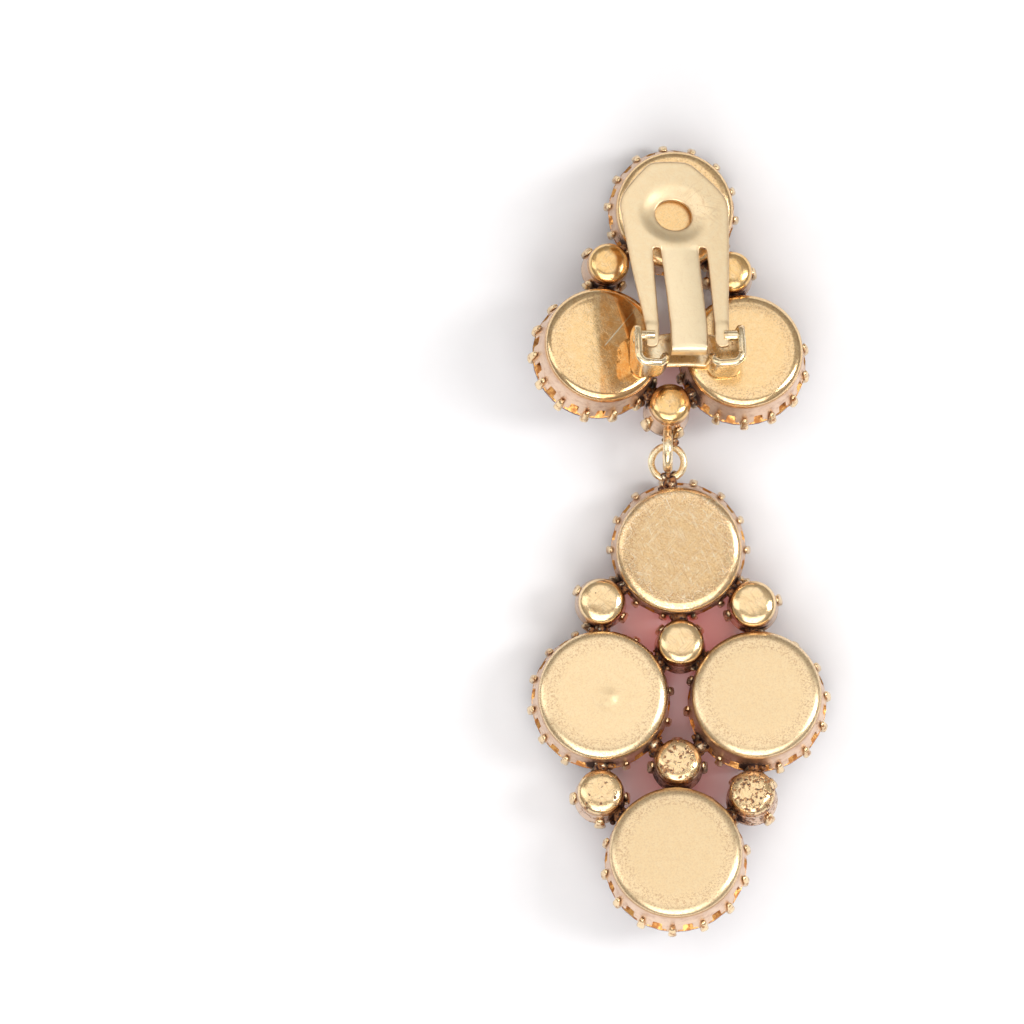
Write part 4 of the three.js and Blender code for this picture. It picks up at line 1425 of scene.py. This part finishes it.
def named(tree, name, kind="FLOAT"):
    """What the points carry under a name."""
    rows = {"Name": name}
    made = put(tree, "GeometryNodeInputNamedAttribute", rows, data_type=kind)
    return made.outputs["Attribute"]


def stamped(tree, points, shape, **inputs):
    """A copy of the shape on each point."""
    rows = {"Points": points, "Instance": shape, **inputs}
    return put(tree, "GeometryNodeInstanceOnPoints", rows).outputs[0]


def realized(tree, shape):
    return put(tree, "GeometryNodeRealizeInstances", {0: shape}).outputs[0]


def roughened(tree, shape, scale, level, amount):
    """Moves a surface along its normals by noise about a level, and shades it smooth."""
    place = put(tree, "GeometryNodeInputPosition").outputs[0]
    bumps = maths(tree, "SUBTRACT", cloud(tree, place, scale, 2.0), level)
    rows = {
        0: put(tree, "GeometryNodeInputNormal").outputs[0],
        "Scale": maths(tree, "MULTIPLY", bumps, amount),
    }
    offset = put(tree, "ShaderNodeVectorMath", rows, operation="SCALE").outputs[0]
    moved = put(tree, "GeometryNodeSetPosition", {"Geometry": shape, "Offset": offset}).outputs[0]
    return put(tree, "GeometryNodeSetShadeSmooth", {"Geometry": moved}).outputs[0]


def ended(tree, shape, given, out):
    """Ends a geometry tree with its instances realized and its material set."""
    rows = {"Geometry": realized(tree, shape), "Material": given["Material"]}
    tree.links.new(put(tree, "GeometryNodeSetMaterial", rows).outputs[0], out[0])
    return tree


def claws_tree():
    """Claws round the mouths: a point for each cup carries its turn and the mouth's radius."""
    tree, given, out = new_group(
        "Claws round the mouths",
        [
            ("Cups", "Geometry", None),
            ("Claw", "Object", None),
            ("Count", "Int", 14),
            ("Material", "Material", None),
        ],
        [("Claws", "Geometry")],
        "GeometryNodeTree",
    )
    rows = {"Vertices": given["Count"], "Radius": 1.0}
    circle = put(tree, "GeometryNodeMeshCircle", rows).outputs[0]
    index = put(tree, "GeometryNodeInputIndex").outputs[0]
    step = maths(tree, "DIVIDE", 2 * math.pi, given["Count"])
    rows = {"Geometry": circle, "Name": "round", "Value": maths(tree, "MULTIPLY", index, step)}
    kept = {"data_type": "FLOAT", "domain": "POINT"}
    marked = put(tree, "GeometryNodeStoreNamedAttribute", rows, **kept).outputs[0]
    turn = named(tree, "turn", "FLOAT_VECTOR")
    lean = put(tree, "FunctionNodeEulerToRotation", {0: turn}).outputs[0]
    rings = stamped(tree, given["Cups"], marked, Rotation=lean, Scale=named(tree, "mouth"))
    rows = {"Axis": (0, 0, 1), "Angle": named(tree, "round")}
    spin = put(tree, "FunctionNodeAxisAngleToRotation", rows).outputs[0]
    rows = {"Rotation": lean, "Rotate By": spin}
    facing = put(tree, "FunctionNodeRotateRotation", rows, rotation_space="LOCAL").outputs[0]
    claw = put(tree, "GeometryNodeObjectInfo", {"Object": given["Claw"]}).outputs["Geometry"]
    copies = stamped(tree, realized(tree, rings), claw, Rotation=facing)
    return ended(tree, copies, given, out)


def solder_tree():
    """Solder at the joints: an uneven lump at each point, with small specks scattered round."""
    tree, given, out = new_group(
        "Solder at the joints",
        [
            ("Joints", "Geometry", None),
            ("Unevenness", "Float", 0.00035),
            ("Lumpiness", "Float", 900.0),
            ("Specks", "Int", 9),
            ("Spread", "Float", 0.0009),
            ("Speck size", "Float", 0.00026),
            ("Seed", "Int", 3),
            ("Material", "Material", None),
        ],
        [("Solder", "Geometry")],
        "GeometryNodeTree",
    )
    turn = named(tree, "turn", "FLOAT_VECTOR")
    lean = put(tree, "FunctionNodeEulerToRotation", {0: turn}).outputs[0]
    ball, bit = (
        put(tree, "GeometryNodeMeshIcoSphere", {"Radius": 1.0, "Subdivisions": level}).outputs[0]
        for level in (4, 2)
    )
    size = named(tree, "size", "FLOAT_VECTOR")
    lumps = stamped(tree, given["Joints"], ball, Rotation=lean, Scale=size)
    rows = {"Geometry": given["Joints"], "Amount": given["Specks"]}
    more = put(tree, "GeometryNodeDuplicateElements", rows, domain="POINT").outputs["Geometry"]
    low, high = (
        put(tree, "ShaderNodeCombineXYZ", {0: reach, 1: reach, 2: reach}).outputs[0]
        for reach in (maths(tree, "MULTIPLY", given["Spread"], -1.0), given["Spread"])
    )
    rows = {"Seed": given["Seed"], 0: low, 1: high}
    shift = put(tree, "FunctionNodeRandomValue", rows, data_type="FLOAT_VECTOR").outputs[0]
    moved = put(tree, "GeometryNodeSetPosition", {"Geometry": more, "Offset": shift}).outputs[0]
    least = maths(tree, "MULTIPLY", given["Speck size"], 0.5)
    most = maths(tree, "MULTIPLY", given["Speck size"], 1.6)
    rows = {"Seed": given["Seed"], 2: least, 3: most}
    scale = put(tree, "FunctionNodeRandomValue", rows, data_type="FLOAT").outputs[1]
    both = put(tree, "GeometryNodeJoinGeometry")
    for shapes in (lumps, stamped(tree, moved, bit, Scale=scale)):
        tree.links.new(shapes, both.inputs[0])
    real = realized(tree, both.outputs[0])
    lumpy = roughened(tree, real, given["Lumpiness"], 0.5, given["Unevenness"])
    return ended(tree, lumpy, given, out)


def wire_tree():
    """A ring of round wire, a little uneven."""
    tree, given, out = new_group(
        "Wire ring",
        [
            ("Geometry", "Geometry", None),
            ("Radius", "Float", 0.0016),
            ("Wire", "Float", 0.0007),
            ("Unevenness", "Float", 0.00006),
            ("Material", "Material", None),
        ],
        [("Ring", "Geometry")],
        "GeometryNodeTree",
    )
    half = maths(tree, "MULTIPLY", given["Wire"], 0.5)
    path, section = (
        put(tree, "GeometryNodeCurvePrimitiveCircle", rows).outputs[0]
        for rows in (
            {"Resolution": 96, "Radius": given["Radius"]},
            {"Resolution": 24, "Radius": half},
        )
    )
    rows = {"Curve": path, "Profile Curve": section}
    wire = put(tree, "GeometryNodeCurveToMesh", rows).outputs[0]
    return ended(tree, roughened(tree, wire, 700.0, 0.62, given["Unevenness"]), given, out)


def grow(name, points, marks, tree, inputs, matrix=None):
    """Runs a geometry node tree on carrier points and keeps its result as a plain piece."""
    carrier = bpy.data.meshes.new(name + "_carrier")
    carrier.from_pydata([tuple(p) for p in points], [], [])
    for label, values in marks.items():
        values = np.asarray(values, dtype=np.float32)
        kind, key = ("FLOAT_VECTOR", "vector") if values.ndim == 2 else ("FLOAT", "value")
        attribute = carrier.attributes.new(label, kind, "POINT")
        attribute.data.foreach_set(key, values.reshape(-1))
    holder = new_object(name + "_holder", carrier)
    modifier = holder.modifiers.new(name, "NODES")
    modifier.node_group = tree
    for item in tree.interface.items_tree:
        if item.item_type == "SOCKET" and item.in_out == "INPUT" and item.name in inputs:
            modifier[item.identifier] = inputs[item.name]
    bpy.context.view_layer.update()
    graph = bpy.context.evaluated_depsgraph_get()
    mesh = bpy.data.meshes.new_from_object(holder.evaluated_get(graph), depsgraph=graph)
    holder.modifiers.remove(modifier)
    bpy.data.objects.remove(holder)
    if matrix is not None:
        mesh.transform(matrix)
    mesh.name = name
    if not mesh.polygons:
        raise RuntimeError(f"{name} came out empty")
    return new_object(name, mesh)


def build_cups(scene, seats, build, material):
    """Builds a cup round each seat, for the cluster that it belongs to."""
    for seat in seats:
        piece = build(seat, scene.earring_cups, scene.earring_links, material)
        node = "top_setting" if seat["name"].startswith("top") else "drop_setting"
        finish_piece(piece, BODY, [node])
    return {"FINISHED"}


class EARRING_OT_large_cups(bpy.types.Operator):
    """Builds the seven large cups with flat backs"""

    bl_idname = "earring.large_cups"
    bl_label = "Large cups"

    def execute(self, context):
        return build_cups(context.scene, LARGE_SEATS, large_cup, palette().backs)


class EARRING_OT_small_cups(bpy.types.Operator):
    """Builds the nine small cups with domed backs"""

    bl_idname = "earring.small_cups"
    bl_label = "Small cups"

    def execute(self, context):
        return build_cups(context.scene, SMALL_SEATS, small_cup, palette().domes)


class EARRING_OT_claws(bpy.types.Operator):
    """Sets the claws round every mouth"""

    bl_idname = "earring.claws"
    bl_label = "Claws"

    def execute(self, context):
        cups = context.scene.earring_cups
        tree = claws_tree()
        for name, seats, count, width in (
            ("large_cup_claws", LARGE_SEATS, cups.claws, cups.claw_width),
            ("small_cup_claws", SMALL_SEATS, cups.small_claws, cups.small_claw_width),
        ):
            points, faces = claw_mesh(width)
            claw = make_piece(name + "_pattern", points, faces, palette().claws)
            marks = {
                "turn": [tuple(seat["matrix"].to_euler()) for seat in seats],
                "mouth": [seat["mouth"] for seat in seats],
            }
            centres = [seat["centre"] for seat in seats]
            inputs = {"Claw": claw, "Count": count, "Material": palette().claws}
            piece = grow(name, centres, marks, tree, inputs)
            links = context.scene.earring_links
            # Tarnish near the solder, and painted shade near the gaps between the cups
            reached = tarnish_and_gap_shade(mesh_points(piece.data), True, cups, links, LARGE_SOOT)
            soot = piece.data.attributes.new("soot", "FLOAT", "POINT")
            soot.data.foreach_set("value", reached.astype(np.float32))
            finish_piece(piece, BODY, ["top_setting", "drop_setting"])
            bpy.data.objects.remove(claw)
        return {"FINISHED"}


class EARRING_OT_stones(bpy.types.Operator):
    """Cuts the sixteen red stones with their foiled backs"""

    bl_idname = "earring.stones"
    bl_label = "Stones"

    def execute(self, context):
        for seat in SEATS.values():
            piece = brilliant(seat, palette().glass, palette().foil)
            finish_piece(piece, BODY, [seat["name"]])
        return {"FINISHED"}


class EARRING_OT_solder(bpy.types.Operator):
    """Runs solder into the joints between the cups and at the feet of the loop and the ring"""

    bl_idname = "earring.solder"
    bl_label = "Solder"

    def execute(self, context):
        scene = context.scene
        cups, links = scene.earring_cups, scene.earring_links
        thick = links.solder
        places, turns, sizes = [], [], []
        for place, turn, half in joint_places(cups, thick):
            places.append(place)
            turns.append((0, 0, turn))
            sizes.append((half, thick, 1.6 * thick))
        feet = link_places(cups, links)
        foot = links.loop_wire * 0.62
        places.append(feet["loop_foot"])
        turns.append((0, 0, 0))
        sizes.append((foot, 0.8 * foot, 1.5 * foot))
        places.append(feet["ring_foot"])
        turns.append((0, 0, feet["ring_foot_turn"]))
        reach = links.ring_foot / 2 + CUP_WALL + links.ring_wire / 4
        sizes.append((reach, links.ring_wire * 0.95, links.ring_wire * 0.8))
        inputs = {"Material": palette().solder, "Seed": 3, "Specks": 9}
        piece = grow("solder", places, {"turn": turns, "size": sizes}, solder_tree(), inputs)
        finish_piece(piece, BODY, ["top_setting", "drop_setting"])
        return {"FINISHED"}


class EARRING_OT_links(bpy.types.Operator):
    """Bends the loop of the upper cluster and the ring of the drop"""

    bl_idname = "earring.links"
    bl_label = "Loop and ring"

    def execute(self, context):
        scene = context.scene
        links = scene.earring_links
        places = link_places(scene.earring_cups, links)
        upright = Matrix.Rotation(math.pi / 2, 4, "Y")
        flat = Matrix.Identity(4)
        tree = wire_tree()
        for name, radius, wire, turn, node in (
            ("loop", links.loop_radius, links.loop_wire, upright, "top_setting"),
            ("ring", links.ring_radius, links.ring_wire, flat, "drop_setting"),
        ):
            matrix = Matrix.Translation(places[name]) @ turn
            inputs = {"Radius": radius, "Wire": wire, "Material": palette().wire}
            piece = grow(name, [(0, 0, 0)], {}, tree, inputs, matrix)
            finish_piece(piece, BODY, [node])
        return {"FINISHED"}


class EARRING_OT_clip_base(bpy.types.Operator):
    """Presses the clip's base strip and bends its two ears"""

    bl_idname = "earring.clip_base"
    bl_label = "Clip base"

    def execute(self, context):
        clip = context.scene.earring_clip
        to_part = clip_frame()
        self.strip(clip, to_part)
        for side in (1, -1):
            self.ear(clip, to_part, side)
        return {"FINISHED"}

    def strip(self, clip, to_part):
        half = clip.base_length / 2
        wide = clip.base_width / 2
        middle_y = -0.65 * MM
        outline = [(half, wide), (-half, wide)]
        for i in range(25):
            t = i / 24
            arch = -wide + 2 * t * (1 - t) * wide * 0.5
            outline.append((-half + 2 * half * t, arch))
        level = -clip.hinge_height + clip.base_thickness / 2

        def bend(x, y, h):
            return x, y + middle_y, level + h

        piece = sheet(
            "clip_base",
            [cut_corners(outline, 2)],
            clip.base_thickness,
            0.2 * MM,
            0.3 * MM,
            bend,
            palette().base,
            to_part,
        )
        finish_piece(piece, BODY, ["top_setting"])

    def ear(self, clip, to_part, side):
        path = ear_path(clip)
        reach = along_path(path, np.array([0.0]))[4]
        low = -clip.hinge_height
        high = clip.ear_over
        corner = 0.5 * MM
        outline = [
            (0, low),
            (0, high - 1.6 * corner),
            (1.4 * corner, high),
            (reach * 0.55, high),
            (reach - 0.9 * MM, high - 0.6 * MM),
            (reach, high - 1.6 * MM),
            (reach, low),
        ]
        bore = clip.hinge_pin / 2 + 0.1 * MM
        hole = ellipse(clip.ear_front, 0.0, bore, bore, 32)

        def bend(s, z, h):
            x, y, nx, ny, _ = along_path(path, s)
            return side * (x + nx * h), y + ny * h, z

        piece = sheet(
            "clip_ear_right" if side > 0 else "clip_ear_left",
            [cut_corners(outline, 2), hole],
            clip.ear_sheet * 1.75,
            0.36 * MM,
            0.25 * MM,
            bend,
            palette().base,
            to_part,
        )
        finish_piece(piece, BODY, ["top_setting"])


class EARRING_OT_paddle(bpy.types.Operator):
    """Presses the sprung paddle and sets its hinge pins"""

    bl_idname = "earring.paddle"
    bl_label = "Paddle"

    def execute(self, context):
        clip = context.scene.earring_clip
        to_part = clip_frame()
        tilted = to_part @ Matrix.Rotation(clip.pitch, 4, "X")
        tongue = clip.tongue_width / 2 + 1e-6

        def on_tongue(x, y, near):
            return ((np.abs(x) < tongue) & (y < clip.slot_length)).astype(float)

        # The band along the sheet's rounded edges, painted brown as shade
        def shaded_edge(x, y, near):
            return np.clip(1 - near / (0.35 * MM), 0, 1)

        def worn(x, y, near):
            """The scratched patch beside the hole."""
            aside = np.hypot(x - 2.6 * MM, y - clip.paddle_length + 4.4 * MM)
            return np.exp(-((aside / (1.7 * MM)) ** 2))

        piece = sheet(
            "clip_paddle_sheet",
            paddle_loops(clip),
            clip.paddle_sheet,
            0.17 * MM,
            0.24 * MM,
            paddle_bend(clip),
            palette().paddle,
            tilted,
            {"tongue": on_tongue, "edge": shaded_edge, "worn": worn},
        )
        finish_piece(piece, CLIP_BODY, ["clip_paddle"])
        for side in (1, -1):
            points, faces = pin_mesh(clip, side)
            name = "hinge_pin_right" if side > 0 else "hinge_pin_left"
            piece = make_piece(name, points, faces, palette().base, tilted)
            finish_piece(piece, CLIP_BODY, ["clip_paddle"])
        return {"FINISHED"}


# Each light's place, width, depth and power. The first rows face the part, "over" faces down
LIGHTS = {
    "key": ((0.5, 0.06, 0.48), 0.16, 0.3, 1.7),
    "low": ((-0.05, -0.55, 0.42), 0.5, 0.1, 0.8),
    "front": ((0.0, -0.42, 0.72), 0.9, 0.45, 2.6),
    "left": ((-0.5, 0.1, 0.4), 0.3, 0.5, 0.6),
    "over": ((-0.0565, 0.47, 0.9), 0.907, 0.9, 1.7),
}
# Red light that the stones throw on the paper in the gaps between the cups
GLOWS = {
    "head_glow": ((0.0, -0.0078, 0.0016), 0.011, 0.007, 0.00009),
    "gap_glow": ((0.0004, -0.0142, 0.0016), 0.004, 0.008, 0.00002),
    "end_glow": ((0.0, -0.0228, 0.0016), 0.011, 0.006, 0.00004),
    "top_glow": ((-0.0011, 0.0155, 0.0024), 0.006, 0.006, 0.00002),
}
GLOW_COLOUR = (1.0, 0.1, 0.08)
FLOOR_REACH = 1.5
SQUARE = [(-1, -1), (1, -1), (1, 1), (-1, 1)]
CAMERA_PLACE = (-16.09 * MM, 2.78 * MM, 1.0)
FOCUS_LEVEL = 7 * MM  # the height at which the picture is SEEN_WIDTH wide
SEEN_WIDTH = 98.3 * MM


def lamp(name, place, wide, deep, power):
    """A rectangular light that faces down."""
    light = bpy.data.lights.new(name, "AREA")
    light.shape = "RECTANGLE"
    light.size = wide
    light.size_y = deep
    light.energy = power
    holder = new_object(name, light)
    holder.location = place
    return holder


class EARRING_OT_stage(bpy.types.Operator):
    """Lays the pale surface, and sets the lights and the camera"""

    bl_idname = "earring.stage"
    bl_label = "Stage"

    def execute(self, context):
        mesh = bpy.data.meshes.new("floor")
        corners = [(x * FLOOR_REACH, y * FLOOR_REACH, 0) for x, y in SQUARE]
        mesh.from_pydata(corners, [], [(0, 1, 2, 3)])
        mesh.materials.append(palette().paper)
        new_object("floor", mesh)
        context.scene.world = self.room()
        for name, row in LIGHTS.items():
            holder = lamp(name, *row)
            if name != "over":
                holder.rotation_euler = (-Vector(row[0])).to_track_quat("-Z", "Y").to_euler()
        for name, row in GLOWS.items():
            lamp(name, *row).data.color = GLOW_COLOUR
        self.camera(context.scene)
        return {"FINISHED"}

    def room(self):
        """A soft room, lighter above, that looks a little warmer in the metal."""
        world = bpy.data.worlds.new("Soft room")
        world.use_nodes = True
        tree = world.node_tree
        direction = put(tree, "ShaderNodeTexCoord").outputs["Generated"]
        upward = put(tree, "ShaderNodeSeparateXYZ", {0: direction}).outputs[2]
        room = between(tree, upward, 0.1, 0.8, 0.3, 0.45)
        rays = put(tree, "ShaderNodeLightPath").outputs
        mirrored = rays["Is Glossy Ray"]
        room = blend_value(tree, mirrored, room, maths(tree, "MULTIPLY", room, 1.06))
        rows = {
            "Strength": blend_value(tree, rays["Is Camera Ray"], room, 0.9),
            "Color": blend(tree, mirrored, (1.0, 0.985, 0.97, 1), (1.0, 0.93, 0.84, 1)),
        }
        feed(tree, tree.nodes["Background"], rows)
        return world

    def camera(self, scene):
        camera = bpy.data.cameras.new("camera")
        camera.sensor_width = 36
        camera.lens = camera.sensor_width * (CAMERA_PLACE[2] - FOCUS_LEVEL) / SEEN_WIDTH
        camera.clip_start = 0.01
        camera.clip_end = 10
        scene.camera = new_object("camera", camera)
        scene.camera.location = CAMERA_PLACE
        scene.view_settings.view_transform = "Standard"


STEPS = [
    EARRING_OT_large_cups,
    EARRING_OT_small_cups,
    EARRING_OT_claws,
    EARRING_OT_stones,
    EARRING_OT_solder,
    EARRING_OT_links,
    EARRING_OT_clip_base,
    EARRING_OT_paddle,
    EARRING_OT_stage,
]
GROUPS = {
    "earring_cups": CupSizes,
    "earring_links": LinkSizes,
    "earring_clip": ClipSizes,
    "earring_finishes": Finishes,
}


class EARRING_PT_panel(bpy.types.Panel):
    """Sizes, finishes and building steps of the earring"""

    bl_label = "Earring"
    bl_idname = "EARRING_PT_panel"
    bl_space_type = "VIEW_3D"
    bl_region_type = "UI"
    bl_category = "Earring"

    def draw(self, context):
        layout = self.layout
        for name in GROUPS:
            box = layout.box()
            settings = getattr(context.scene, name)
            for row in settings.bl_rna.properties:
                if row.identifier not in {"rna_type", "name"}:
                    box.prop(settings, row.identifier)
        for step in STEPS:
            layout.operator(step.bl_idname)


def register():
    for kind in [*GROUPS.values(), *STEPS, EARRING_PT_panel]:
        bpy.utils.register_class(kind)
    for name, kind in GROUPS.items():
        setattr(bpy.types.Scene, name, PointerProperty(type=kind))


def unregister():
    for name in GROUPS:
        delattr(bpy.types.Scene, name)
    for kind in reversed([*GROUPS.values(), *STEPS, EARRING_PT_panel]):
        bpy.utils.unregister_class(kind)


def main():
    register()
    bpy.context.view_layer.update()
    for step in STEPS:
        section, name = step.bl_idname.split(".")
        getattr(getattr(bpy.ops, section), name)()


if __name__ == "__main__":
    main()
